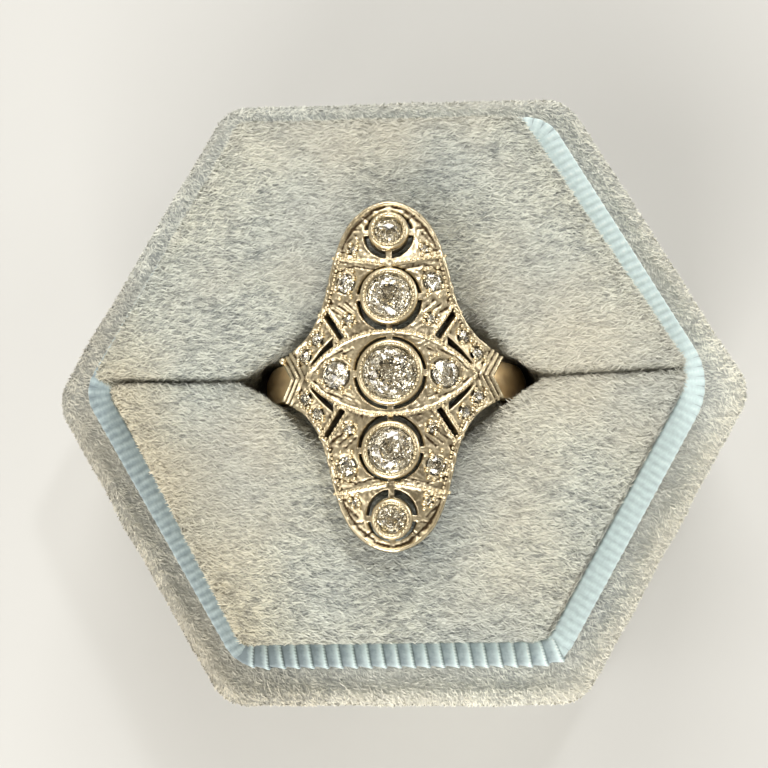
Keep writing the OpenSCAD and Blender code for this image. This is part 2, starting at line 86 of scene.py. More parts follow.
def stackedRings(rings):
    # quads between closed rings of equal length, and a fan over each end
    n = len(rings[0])
    verts = [p for ring in rings for p in ring]
    faces = []
    for k in range(len(rings) - 1):
        for i in range(n):
            j = (i + 1) % n
            faces.append((k * n + i, k * n + j, (k + 1) * n + j, (k + 1) * n + i))
    for k in (0, len(rings) - 1):
        middle = len(verts)
        verts.append(tuple(sum(p[a] for p in rings[k]) / n for a in range(3)))
        for i in range(n):
            a, b = k * n + i, k * n + (i + 1) % n
            faces.append((a, b, middle) if k else (b, a, middle))
    return verts, faces


def evenly(path, step=None, count=None):
    # points at even distances along a closed path, about a step apart or a given number of them
    loop = path + [path[0]]
    lengths = [0]
    for a, b in zip(loop, loop[1:]):
        lengths.append(lengths[-1] + (b - a).length)
    count = count or round(lengths[-1] / step)
    out = []
    k = 0
    for i in range(count):
        s = lengths[-1] * i / count
        while lengths[k + 1] < s:
            k += 1
        out.append(loop[k].lerp(loop[k + 1], (s - lengths[k]) / max(lengths[k + 1] - lengths[k], 1e-9)))
    return out


def roundedPath(corners, radii, step):
    # evenly spaced points along a polygon with rounded corners, listed anticlockwise
    dense = []
    for i, here in enumerate(corners):
        before = (corners[i - 1] - here).normalized()
        after = (corners[(i + 1) % len(corners)] - here).normalized()
        half = math.acos(max(-1, min(1, before.dot(after)))) / 2
        centre = here + (before + after).normalized() * radii[i] / math.sin(half)
        start = here + before * radii[i] / math.tan(half) - centre
        first = math.atan2(start.y, start.x)
        for k in range(17):
            a = first + (math.pi - 2 * half) * k / 16
            dense.append(centre + radii[i] * Vector((math.cos(a), math.sin(a))))
    return evenly(dense, step=step)


def hexCorners(apothem):
    r = apothem / math.cos(math.radians(30))
    return [Vector((r * math.cos(a), r * math.sin(a))) for a in [math.radians(60 * k) for k in range(6)]]


def smooth(t):
    t = max(0.0, min(1.0, t))
    return t * t * (3 - 2 * t)


# helpers for node trees

class nodeTree:
    # short calls for adding nodes; an input is given a constant or another node's output
    def __init__(self, tree):
        self.tree = tree

    def feed(self, socket, value):
        if isinstance(value, bpy.types.NodeSocket):
            self.tree.links.new(value, socket)
        else:
            socket.default_value = value

    def add(self, kind, inputs={}, **settings):
        node = self.tree.nodes.new(kind)
        for key, value in settings.items():
            setattr(node, key, value)
        for key, value in inputs.items():
            self.feed(node.inputs[key], value)
        return node

    def math(self, operation, a, b):
        return self.add("ShaderNodeMath", {0: a, 1: b}, operation=operation).outputs[0]

    def weigh(self, *parts):
        # the sum of several values, each times its weight
        total = None
        for value, weight in parts:
            part = self.math("MULTIPLY", value, weight)
            total = part if total is None else self.math("ADD", total, part)
        return total

    def attribute(self, name):
        return self.add("ShaderNodeAttribute", attribute_name=name).outputs["Fac"]

    def place(self, kind="Object"):
        return self.add("ShaderNodeTexCoord").outputs[kind]

    def axes(self, kind="Object"):
        return self.add("ShaderNodeSeparateXYZ", {0: self.place(kind)}).outputs

    def pattern(self, scale, stretch=(1, 1, 1), detail=3, turn=0, distortion=0):
        # noise on Object coordinates, in metres, so a scale of 1000 repeats about every millimetre
        mapping = self.add("ShaderNodeMapping", {
            "Vector": self.place(), "Scale": stretch, "Rotation": (0, 0, turn)})
        return self.add("ShaderNodeTexNoise", {
            "Vector": mapping.outputs["Vector"], "Scale": scale, "Detail": detail,
            "Distortion": distortion}).outputs["Fac"]

    def ramp(self, value, *stops):
        node = self.add("ShaderNodeValToRGB", {0: value})
        elements = node.color_ramp.elements
        while len(elements) < len(stops):
            elements.new(0.5)
        for element, (place, colour) in zip(elements, stops):
            element.position = place
            element.color = (*colour, 1)
        return node.outputs[0]

    def mix(self, factor, a, b, blend="MIX"):
        a, b = [(*tone, 1) if isinstance(tone, tuple) else tone for tone in (a, b)]
        node = self.add("ShaderNodeMix", {0: factor, 6: a, 7: b}, data_type="RGBA", blend_type=blend)
        return node.outputs[2]

    def bump(self, height, strength, depth):
        return self.add("ShaderNodeBump", {
            "Height": height, "Strength": strength, "Distance": depth}).outputs[0]

    def surface(self, values):
        for label, value in values.items():
            self.feed(self.tree.nodes["Principled BSDF"].inputs[label], value)


def newMaterial(name):
    material = bpy.data.materials.new(name)
    material.use_nodes = True
    return material, nodeTree(material.node_tree)


def newTree(name, inputs):
    tree = bpy.data.node_groups.new(name, "GeometryNodeTree")
    tree.interface.new_socket("Geometry", in_out="INPUT", socket_type="NodeSocketGeometry")
    for label, kind in inputs.items():
        tree.interface.new_socket(label, in_out="INPUT", socket_type="NodeSocket" + kind)
    tree.interface.new_socket("Geometry", in_out="OUTPUT", socket_type="NodeSocketGeometry")
    nodes = nodeTree(tree)
    return tree, nodes, nodes.add("NodeGroupInput").outputs


def closeTree(nodes, given, instances, rounded=False):
    # the instances become one mesh in the given material
    mesh = nodes.add("GeometryNodeRealizeInstances", {0: instances}).outputs[0]
    if rounded:
        mesh = nodes.add("GeometryNodeSetShadeSmooth", {0: mesh}).outputs[0]
    finish = nodes.add("GeometryNodeSetMaterial", {"Geometry": mesh, "Material": given["Material"]})
    nodes.add("NodeGroupOutput", {0: finish.outputs[0]})


def spacedAlong(nodes, given, spacing):
    # points along the host's curve, as far apart as the input of that name says
    return nodes.add("GeometryNodeResampleCurve", {
        "Curve": given["Geometry"], "Length": given[spacing]}, mode="LENGTH").outputs[0]


def growMesh(host, tree, values, name):
    # run a tree on an object once, and keep its result as a plain mesh under a new name
    modifier = host.modifiers.new("grow", "NODES")
    modifier.node_group = tree
    for item in tree.interface.items_tree:
        if item.in_out == "INPUT" and item.name in values:
            modifier[item.identifier] = values[item.name]
    bpy.context.view_layer.update()
    grown = bpy.data.meshes.new_from_object(host.evaluated_get(bpy.context.evaluated_depsgraph_get()))
    host.modifiers.remove(modifier)
    return addObject(name, grown)


def curveHost(name, paths):
    # a curve object to grow on, with one run for each list of points and whether that run closes
    curve = bpy.data.curves.new(name, "CURVE")
    curve.dimensions = "3D"
    for points, closed in paths:
        run = curve.splines.new("POLY")
        run.points.add(len(points) - 1)
        for target, p in zip(run.points, points):
            target.co = (p[0] * mm, p[1] * mm, p[2] * mm, 1)
        run.use_cyclic_u = closed
    return addObject(name, curve)


# camera, as solved from the photograph; its turn is an axis times an angle

cameraView = {"place": (4.29, -11.74, 123.12), "lens": 62.34, "sensor": 36, "clip": 0.01,
              "turn": (-0.1215, -0.05305, 0.01427)}


def makeCamera():
    data = bpy.data.cameras.new("camera")
    data.lens = cameraView["lens"]
    data.sensor_width = cameraView["sensor"]
    data.clip_start = cameraView["clip"]
    camera = addObject("camera", data)
    turn = Vector(cameraView["turn"])
    toCamera = Matrix.Rotation(turn.length, 3, turn.normalized()).transposed().to_4x4()
    camera.matrix_world = Matrix.Translation(Vector(cameraView["place"]) * mm) @ toCamera
    bpy.context.scene.camera = camera


# for each light its place and width in millimetres, its power and its colour
lights = {
    "windowLight": ((-10, 290, 200), 190, 0.78, (1.0, 0.985, 0.95)),
    "sideLight": ((290, 110, 55), 150, 0.3, (1.0, 0.99, 0.96)),
    "frontFill": ((-60, -275, 180), 200, 1.06, (1.0, 0.98, 0.94)),
    "westFill": ((-260, -90, 210), 160, 0.25, (1.0, 0.97, 0.93)),
    "sparkLight": ((45, 80, 190), 12, 0.07, (1.0, 1.0, 1.0))}
lightAim = (0, 0, 25)


def makeLights():
    for name, (place, size, power, colour) in lights.items():
        data = bpy.data.lights.new(name, "AREA")
        data.size = size * mm
        data.energy = power
        data.color = colour
        light = addObject(name, data)
        light.location = Vector(place) * mm
        direction = Vector(lightAim) * mm - light.location
        light.rotation_euler = direction.to_track_quat("-Z", "Y").to_euler()


# dim and warm overhead and bright lower down, so that facets and metal have something to mirror
room = {"byHeight": [(0.0, (0.5, 0.49, 0.46)), (0.3, (0.85, 0.84, 0.80)), (0.68, (1.0, 0.99, 0.95)),
                     (0.9, (0.30, 0.26, 0.20)), (1.0, (0.16, 0.13, 0.09))],
        "patches": [(0.40, (0.16, 0.13, 0.09)), (0.47, (0.62, 0.58, 0.50)), (0.53, (1, 1, 1)),
                    (0.62, (1.9, 1.88, 1.8))],
        "patchScale": 3.4, "plain": (0.72, 0.71, 0.68), "strength": 0.78}


def makeRoom():
    world = bpy.data.worlds.new("softRoom")
    world.use_nodes = True
    nodes = nodeTree(world.node_tree)
    height = nodes.ramp(nodes.axes("Generated")["Z"], *room["byHeight"])
    patches = nodes.add("ShaderNodeTexNoise", {
        "Vector": nodes.place("Generated"), "Scale": room["patchScale"], "Detail": 2})
    seen = nodes.mix(1.0, height, nodes.ramp(patches.outputs["Fac"], *room["patches"]), "MULTIPLY")
    # the patches are only mirrored and lit by; behind the object the room is plain
    direct = nodes.add("ShaderNodeLightPath").outputs["Is Camera Ray"]
    background = world.node_tree.nodes["Background"]
    nodes.feed(background.inputs[0], nodes.mix(direct, seen, room["plain"]))
    nodes.feed(background.inputs[1], room["strength"])
    bpy.context.scene.world = world


makeCamera()
makeLights()
makeRoom()
bpy.context.scene.view_settings.view_transform = "Standard"
print("camera and light set")


# materials; lengths in them are in metres

white = (1, 1, 1)
# each velvet's bluish tint is multiplied in as painted shade on the base's ledge and as random tone on the
# cushions; its last colour is painted shade on the front left side
velvetLooks = {
    "velvetPale": {"light": (0.74, 0.745, 0.65), "dark": (0.25, 0.265, 0.25), "shadeAndToneTint": (0.80, 0.86, 0.95),
                   "patch": (0.66, 0.615, 0.51), "wearAndShade": (0.95, 0.89, 0.79)},
    # the base's velvet is a lighter copy of the cushions', painted light where its ledge and edges catch the
    # light
    "velvetEdgeLit": {"light": (0.97, 0.955, 0.84), "dark": (0.42, 0.43, 0.40), "shadeAndToneTint": (0.76, 0.785, 0.82),
                   "patch": (0.66, 0.63, 0.54), "wearAndShade": (0.76, 0.73, 0.69)}}
velvetWeights = {"streaks": 0.75, "tint": 0.33, "clumps": 0.42}
# where the front left side turns to the darker, warmer colour of painted shade
velvetSideShade = {"scale": 10, "from": 0.125, "to": 0.19}  # from 12.5 to 19 mm out from the middle
ribbonTones = [(0.08, (0.17, 0.22, 0.245)), (0.42, (0.41, 0.505, 0.525)),
               (0.72, (0.60, 0.735, 0.745)), (1.0, (0.90, 0.94, 0.92))]
# painted light and shade: the ribs' crests lighter and their valleys darker, the back right lighter and the
# front left darker
ribbonWeights = {"threads": 0.35, "crest": 0.75, "right": 7, "back": 5, "backLightFrom": -0.004,
                 "frontLeftShade": -17, "frontLeftShadeFrom": 0.012}
# each metal's recess colour is patina and painted shade in the hollows
metalLooks = {
    "whiteMetal": {"polished": (0.71, 0.61, 0.42), "recess": (0.07, 0.047, 0.026), "roughness": 0.2},
    "yellowGold": {"polished": (1.0, 0.76, 0.45), "recess": (0.75, 0.5, 0.26), "roughness": 0.26}}
metalWeights = {"wearAndShade": 0.7, "blotches": 0.62, "scratches": 0.2, "dullRecess": 0.18}


def frontLeft(nodes):
    # how far out a point lies towards the front left side of the box
    axes = nodes.axes()
    return nodes.weigh((axes["X"], -0.866), (axes["Y"], -0.5))


def velvetMaterial(name):
    # pale pile; the surface under the blades has no tint and comes out darker, as painted shade at the roots;
    # where the shade-and-tone value is low a bluish tint is multiplied in, painted shade on the base's ledge
    # and random tone on the cushions, and the front left side is darker and warmer as painted shade
    look, w, sideShade = velvetLooks[name], velvetWeights, velvetSideShade
    material, nodes = newMaterial(name)
    streaks = nodes.pattern(3600, stretch=(0.32, 1, 1), detail=2, distortion=1.2)
    clumps = nodes.pattern(1000, stretch=(0.45, 1, 1), detail=2, distortion=1.5)
    level = nodes.weigh((streaks, w["streaks"]), (nodes.attribute("tint"), w["tint"]), (clumps, w["clumps"]))
    colour = nodes.ramp(level, (0.58, look["dark"]), (0.94, look["light"]))
    patches = nodes.ramp(nodes.pattern(90), (0.42, (0, 0, 0)), (0.62, (0.5, 0.5, 0.5)))
    colour = nodes.mix(patches, colour, look["patch"])
    # painted shade: a bluish copy of the colour, mixed in where the shade-and-tone value is low
    shaded = nodes.mix(1.0, colour, look["shadeAndToneTint"], "MULTIPLY")
    colour = nodes.mix(nodes.attribute("shadeAndTone"), shaded, colour)
    # painted shade: the front left side is darkened and warmed
    side = nodes.math("MULTIPLY", frontLeft(nodes), sideShade["scale"])
    wearAndShade = nodes.ramp(side, (sideShade["from"], white), (sideShade["to"], look["wearAndShade"]))
    nodes.surface({"Base Color": nodes.mix(1.0, colour, wearAndShade, "MULTIPLY"), "Roughness": 0.9,
                   "Specular IOR Level": 0.2, "Sheen Weight": 0.4, "Sheen Roughness": 0.45,
                   "Sheen Tint": (1.0, 0.98, 0.93, 1)})
    return material


def ribbonMaterial():
    # a painted highlight on the ribs' crests and painted shade in their valleys, painted light paler towards
    # the back right and painted shade darker on the front left side
    w = ribbonWeights
    material, nodes = newMaterial("ribbonBlue")
    threads = nodes.pattern(2600, stretch=(1, 1, 0.4), detail=2)
    axes = nodes.axes()
    # painted shade darker on the front left, painted light paler towards the back
    frontLeftShade = nodes.math("MAXIMUM", nodes.math("SUBTRACT", frontLeft(nodes), w["frontLeftShadeFrom"]), 0)
    back = nodes.math("MAXIMUM", axes["Y"], w["backLightFrom"])
    level = nodes.weigh((threads, w["threads"]), (nodes.attribute("crest"), w["crest"]),
                        (axes["X"], w["right"]), (back, w["back"]), (frontLeftShade, w["frontLeftShade"]))
    nodes.surface({"Base Color": nodes.ramp(level, *ribbonTones), "Roughness": 0.5, "Sheen Weight": 0.3,
                   "Normal": nodes.bump(threads, strength=0.4, depth=0.00006)})
    return material


def metalMaterial(name):
    # warm polished metal, duller and brown in its recesses, partly as patina and partly as painted shade,
    # with fine scratches
    look, w = metalLooks[name], metalWeights
    material, nodes = newMaterial(name)
    wearAndShade = nodes.attribute("wearAndShade")
    blotches = nodes.pattern(1300, detail=4)
    scratches = nodes.pattern(5200, stretch=(1, 0.25, 1), turn=0.6)
    level = nodes.weigh((wearAndShade, w["wearAndShade"]), (blotches, w["blotches"]))
    rough = nodes.math("ADD", nodes.math("MULTIPLY", scratches, w["scratches"]), look["roughness"])
    recess = nodes.math("MULTIPLY", nodes.math("SUBTRACT", 1, wearAndShade), w["dullRecess"])
    # polish on what stands proud, patina and painted shade in the hollows
    tone = nodes.ramp(level, (0.38, look["recess"]), (0.93, look["polished"]))
    nodes.surface({"Base Color": tone, "Roughness": nodes.math("ADD", rough, recess), "Metallic": 1,
                   "Normal": nodes.bump(blotches, strength=0.4, depth=0.00003)})
    return material


def stoneMaterial():
    # uneven old cutting: small tilted cells break up what is seen through the table
    material, nodes = newMaterial("stoneClear")
    cells = nodes.add("ShaderNodeTexVoronoi", {"Vector": nodes.place(), "Scale": 1500}, feature="F1")
    nodes.surface({"Base Color": (1, 0.935, 0.76, 1), "Roughness": 0, "IOR": 2.2, "Transmission Weight": 0.99,
                   "Normal": nodes.bump(cells.outputs["Distance"], strength=0.5, depth=0.00025)})
    return material


def cardMaterial():
    material, nodes = newMaterial("cardBlue")
    tone = nodes.ramp(nodes.pattern(600), (0.3, (0.30, 0.38, 0.44)), (0.7, (0.38, 0.46, 0.52)))
    nodes.surface({"Base Color": tone, "Roughness": 0.8})
    return material


velvetPale = velvetMaterial("velvetPale")
velvetEdgeLit = velvetMaterial("velvetEdgeLit")
ribbonBlue = ribbonMaterial()
whiteMetal = metalMaterial("whiteMetal")
yellowGold = metalMaterial("yellowGold")
stoneClear = stoneMaterial()
cardBlue = cardMaterial()
print("materials made")


# velvet pile: blades of one triangle each, grown on a piece from each vertex's share of it

napSizes = {"length": 0.62, "width": 0.15, "rise": 0.1, "shortest": 0.6, "longest": 1.25, "seed": 3,
            "tiltFrom": (-0.1, -0.4, -0.75), "tiltTo": (0.22, 0.4, 0.75), "otherWay": 0.45, "otherSeed": 12,
            "swirlScale": 420}


def napTree():
    s = napSizes
    tree, nodes, given = newTree("velvetNap", {"Blade": "Object", "Density": "Float", "Comb": "Vector",
                                               "Swirl": "Float", "Seed": "Int", "Material": "Material"})
    share = nodes.add("GeometryNodeInputNamedAttribute", {"Name": "napShare"}, data_type="FLOAT")
    density = nodes.math("MULTIPLY", share.outputs["Attribute"], given["Density"])
    points = nodes.add("GeometryNodeDistributePointsOnFaces", {
        "Mesh": given["Geometry"], "Density": density, "Seed": given["Seed"]}, distribute_method="RANDOM")

    # the pile follows the comb's direction, turned a little from place to place
    place = nodes.add("GeometryNodeInputPosition").outputs[0]
    swirl = nodes.add("ShaderNodeTexNoise", {"Vector": place, "Scale": s["swirlScale"], "Detail": 2})
    centred = nodes.add("ShaderNodeVectorMath", {0: swirl.outputs["Color"], 1: (0.5, 0.5, 0.5)},
                        operation="SUBTRACT")
    scaled = nodes.add("ShaderNodeVectorMath", {0: centred.outputs[0], "Scale": given["Swirl"]},
                       operation="SCALE")
    lay = nodes.add("ShaderNodeVectorMath", {0: given["Comb"], 1: scaled.outputs[0]}, operation="ADD")
    aim = nodes.add("FunctionNodeAxesToRotation", {0: points.outputs["Normal"], 1: lay.outputs[0]},
                    primary_axis="Z", secondary_axis="Y")

    # each blade has its own tilt, and part of the pile lies the other way, so that it looks alike
    # from both sides
    tilt = nodes.add("FunctionNodeRandomValue", {
        0: s["tiltFrom"], 1: s["tiltTo"], "Seed": given["Seed"]}, data_type="FLOAT_VECTOR")
    number = nodes.add("GeometryNodeInputIndex").outputs[0]
    chance = nodes.add("FunctionNodeRandomValue", {"ID": number, "Seed": s["otherSeed"]}, data_type="FLOAT")
    other = nodes.math("MULTIPLY", nodes.math("LESS_THAN", chance.outputs[1], s["otherWay"]), math.pi)
    about = nodes.add("ShaderNodeCombineXYZ", {2: other})
    both = nodes.add("ShaderNodeVectorMath", {0: tilt.outputs[0], 1: about.outputs[0]}, operation="ADD")
    wobble = nodes.add("FunctionNodeEulerToRotation", {0: both.outputs[0]})
    turned = nodes.add("FunctionNodeRotateRotation", {0: aim.outputs[0], 1: wobble.outputs[0]},
                       rotation_space="LOCAL")

    blade = nodes.add("GeometryNodeObjectInfo", {"Object": given["Blade"]})
    size = nodes.add("FunctionNodeRandomValue", {
        2: s["shortest"], 3: s["longest"], "Seed": given["Seed"]}, data_type="FLOAT")
    spread = nodes.add("GeometryNodeInstanceOnPoints", {
        "Points": points.outputs["Points"], "Instance": blade.outputs["Geometry"],
        "Rotation": turned.outputs[0], "Scale": size.outputs[1]})
    tint = nodes.add("FunctionNodeRandomValue", {"Seed": given["Seed"]}, data_type="FLOAT")
    kept = nodes.add("GeometryNodeStoreNamedAttribute", {
        "Geometry": spread.outputs[0], "Name": "tint", "Value": tint.outputs[1]},
        data_type="FLOAT", domain="INSTANCE")
    closeTree(nodes, given, kept.outputs[0])
    return tree


def growNap(piece, shares, shadeAndTone, sizes, comb, material):
    # shares: how much pile each vertex carries, 0 where the surface is hidden
    mark(piece, "shadeAndTone", shadeAndTone)
    mark(piece, "napShare", shares)
    area = 0
    for polygon in piece.data.polygons:
        area += polygon.area * sum(shares[v] for v in polygon.vertices) / len(polygon.vertices)
    s = napSizes
    scale = sizes["pileScale"]
    half = s["width"] / 2 * scale ** 0.5
    corners = [(-half, 0, 0), (half, 0, 0), (0, s["length"] * scale, s["rise"] * scale)]
    blade = meshPiece("blade", corners, [(0, 1, 2)], material)
    nap = growMesh(piece, napShape, {
        "Blade": blade, "Density": sizes["pile"] / area, "Comb": comb, "Swirl": sizes["pileSwirl"],
        "Seed": s["seed"], "Material": material}, "nap")
    discard(blade)
    joinPieces(piece, nap)


napShape = napTree()


# outer base: a velvet-covered tray with a flat ledge

baseSizes = {"apothem": 23.816, "wall": 3.35, "height": 20, "floor": 2.4, "corner": 3.3, "innerCorner": 3.0,
             "edge": 1.1, "innerEdge": 0.5, "dish": 0.1, "step": 0.45, "lump": 0.12, "lumpScale": 0.35,
             "shrink": 0.08, "pile": 155000, "pileScale": 0.72, "pileSwirl": 0.75, "sidePile": 0.32,
             "foot": 1.1, "ledgeDepth": 2.2, "ribbonShadeFrom": 0.7, "ribbonShadeOver": 2.0, "paintedLight": 0.72,
             "paintedLightFront": 0.42, "paintedLightRight": 0.34, "paintedLightReach": 0.022, "leastPaintedLight": 0.2,
             "shadeAndToneSpread": 0.25, "shadeAndToneScale": 400}


def baseRows():
    # inset from the wall's outer face and height, up the outside, over the ledge and down the inside
    s = baseSizes
    e, r, wall, top = s["edge"], s["innerEdge"], s["wall"], s["height"]
    rows = [(0.9, 0), (0.25, 0.2), (0, 0.9)]
    rows += [(0, top * k / 16) for k in range(1, 15)]
    rows += [(e * (1 - math.cos(a)), top - e + e * math.sin(a))
             for a in [math.radians(9 * k) for k in range(11)]]
    rows += [(e + (wall - e - r) * k / 6, top - s["dish"] * math.sin(math.pi * k / 6)) for k in range(1, 6)]
    rows += [(wall - r + r * math.sin(a), top - r + r * math.cos(a))
             for a in [math.radians(15 * k) for k in range(7)]]
    return rows + [(wall, top - 1.5 * k) for k in range(1, 11)] + [(wall, s["floor"])]


def makeBase():
    s = baseSizes
    count = len(roundedPath(hexCorners(s["apothem"]), [s["corner"]] * 6, s["step"]))
    rings = []
    for inset, z in baseRows():
        radius = s["corner"] + (s["innerCorner"] - s["corner"]) * (inset / s["wall"])
        path = roundedPath(hexCorners(s["apothem"] - inset), [radius] * 6, s["step"])
        flat = z < 1 or inset >= s["wall"]  # the foot and the inside stay even
        ring = []
        for p in evenly(path, count=count):
            out = p.normalized()
            spot = Vector((p.x * s["lumpScale"], p.y * s["lumpScale"], z * s["lumpScale"]))
            push = 0 if flat else s["lump"] * noise.noise(spot)
            pull = 0 if flat else s["shrink"]
            ring.append((p.x + out.x * push - out.x * pull, p.y + out.y * push - out.y * pull,
                         z + push * 0.5))
        rings.append(ring)
    piece = meshPiece("velvetBase", *stackedRings(rings), velvetEdgeLit)
    faceOutwards(piece)

    # full pile on the ledge, less down the sides, none round the foot or on the inner wall
    inner = s["apothem"] - s["wall"]
    turns = [math.radians(60 * k + 30) for k in range(3)]
    normals = [Vector((math.cos(a), math.sin(a), 0)) for a in turns]
    shares, shadeAndTone = [], []
    for v in piece.data.vertices:
        z = v.co.z / mm
        reach = max(abs(v.co.dot(normal)) for normal in normals) / mm
        if z < s["foot"] or reach < inner - 0.05 and z < s["height"] - 1.5:
            shares.append(0.0)
        else:
            shares.append(1.0 if z > s["height"] - s["ledgeDepth"] else s["sidePile"])
        # painted shade darkens and blues the ledge next to the ribbon, more towards the back and the left,
        # and painted light brightens it towards the front and the right
        paintedLight = (s["paintedLight"] - s["paintedLightFront"] * v.co.y / s["paintedLightReach"]
                   + s["paintedLightRight"] * v.co.x / s["paintedLightReach"])
        ledge = smooth((reach - inner - s["ribbonShadeFrom"]) / s["ribbonShadeOver"])
        ledge *= min(max(paintedLight, s["leastPaintedLight"]), 1)
        shadeAndTone.append(ledge + s["shadeAndToneSpread"] * noise.noise(v.co * s["shadeAndToneScale"]))
    growNap(piece, shares, shadeAndTone, s, (0.25, -0.2, -0.8), velvetEdgeLit)
    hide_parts("base_shell")
    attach(piece, "root")


makeBase()
print("outer base made")


# cushions: two padded halves with the slot and its open mouth between them; each shift moves one of
# the hexagon's corners, listed from the right round to the left as seen from the slot

cushionSizes = {"apothem": 18.27, "bulge": 0.35, "corner": 1.4, "slotCorner": 0.4, "gap": 0.15,
                "middle": 10.6, "bottom": 2.4, "top": 30.3, "edge": 0.9, "lip": 0.8, "mouthLip": 0.95,
                "mouthLength": 11.6, "mouthWidth": 5.2, "mouthTaper": 1.5, "mouthBottom": 25.6,
                "mouthBlend": 1.6,
                "ringHeight": 23.6, "channelIn": 7.95, "channelOut": 10.2, "channelWidth": 1.75,
                "channelBlend": 0.5, "swellFrom": 25.9, "swellOver": 1.5, "shiftFrom": 26.2, "shiftOver": 1.6,
                "crown": 0.45, "crownReach": 3.5, "slotDip": 0.3, "slotReach": 1.4, "mouthDip": 0.25,
                "mouthReach": 2.2, "lump": 0.14, "lumpScale": 0.3, "step": 0.33, "walls": 24, "wallsEnd": 0.6,
                "rings": 60, "ringsBunched": 1.9, "pile": 140000, "pileScale": 1.0, "pileSwirl": 0.8,
                "pileFrom": 24.5, "pileOver": 2.5, "shadeAndTone": 0.75, "shadeAndToneSpread": 0.8, "shadeAndToneScale": 130,
                "backShifts": [(-0.6, 0.5), (-1.3, 0.5), (-0.25, 0.55), (-0.2, 0.4)],
                "frontShifts": [(0.9, 0.2), (-0.1, 0.3), (-0.75, 0.4), (-0.6, 0.5)]}


def mouthHalf(x):
    # half the width of the slot's open mouth
    s = cushionSizes
    t = min(1, abs(x) / s["mouthLength"])
    return s["mouthWidth"] * (1 - t * t) ** s["mouthTaper"]


def cushionOutline():
    s = cushionSizes
    a = s["apothem"] + s["bulge"]
    point = a / math.cos(math.radians(30))
    reach = point - s["gap"] / math.tan(math.radians(60))
    corners = [Vector(p) for p in ((reach, s["gap"]), (point / 2, a), (-point / 2, a), (-reach, s["gap"]))]
    return roundedPath(corners, [s["slotCorner"], s["corner"], s["corner"], s["slotCorner"]], s["step"])


def slotWall(x, z):
    # how far the slot face stands back from the middle plane: the open mouth, and the band's channel
    s = cushionSizes
    mouth = mouthHalf(x) * smooth((z - s["mouthBottom"]) / s["mouthBlend"])
    r = math.hypot(x, z - s["ringHeight"])
    blend = s["channelBlend"]
    inChannel = smooth((r - s["channelIn"] + blend) / blend) * smooth((s["channelOut"] + blend - r) / blend)
    return s["gap"] + max(mouth, (s["channelWidth"] - s["gap"]) * inChannel)


def edgeDrop(distance, radius):
    # how far a rounded edge falls at a distance inside it
    return 0 if distance >= radius else radius - math.sqrt(max(0, radius ** 2 - (radius - distance) ** 2))


def cushionTop(x, y):
    # height of the top surface: rounded along the hexagon's sides, rolled in at the slot and the mouth
    s = cushionSizes
    a = s["apothem"] + s["bulge"]
    toHex = min(a - y, a - abs(x) * math.cos(math.radians(30)) - y * 0.5)
    half = mouthHalf(x)
    share = half / s["mouthWidth"]
    toSlot = max(0, y - s["gap"] - half) / math.hypot(1, 1.1 * half / s["mouthWidth"])
    lip = s["lip"] + (s["mouthLip"] - s["lip"]) * min(1, 2 * share)
    z = s["top"] - edgeDrop(toHex, s["edge"]) - edgeDrop(toSlot, lip)
    z -= (s["crown"] * math.exp(-max(0, toHex) / s["crownReach"])
          + s["slotDip"] * math.exp(-toSlot / s["slotReach"])
          + s["mouthDip"] * share * math.exp(-toSlot / s["mouthReach"]))
    return z + s["lump"] * noise.noise(Vector((x * s["lumpScale"], y * s["lumpScale"], 5)))


def cornerShift(x, y, shifts):
    # the shifts of the two nearest corners, blended along the side between them, growing outwards
    angle = min(max(math.degrees(math.atan2(y, x)), 0), 179.9)
    k = int(angle // 60)
    turn = math.radians(angle - 60 * k - 30)
    along = 0.5 + math.tan(turn) / (2 * math.tan(math.radians(30)))
    reach = math.hypot(x, y) * math.cos(turn) / cushionSizes["apothem"]
    a, b = shifts[k], shifts[k + 1]
    grow = min(reach, 1.1) ** 2
    return (a[0] + (b[0] - a[0]) * along) * grow, (a[1] + (b[1] - a[1]) * along) * grow


def wallRing(outline, z):
    s = cushionSizes
    inward = s["bulge"] * (1 - smooth((z - s["swellFrom"]) / s["swellOver"]))
    ring = []
    for p in outline:
        if p.y < s["gap"] + 0.02:
            ring.append((p.x, slotWall(p.x, z), z))
        else:
            out = p.normalized()
            ring.append((p.x - out.x * inward, max(p.y - out.y * inward, s["gap"] + 0.01), z))
    return ring


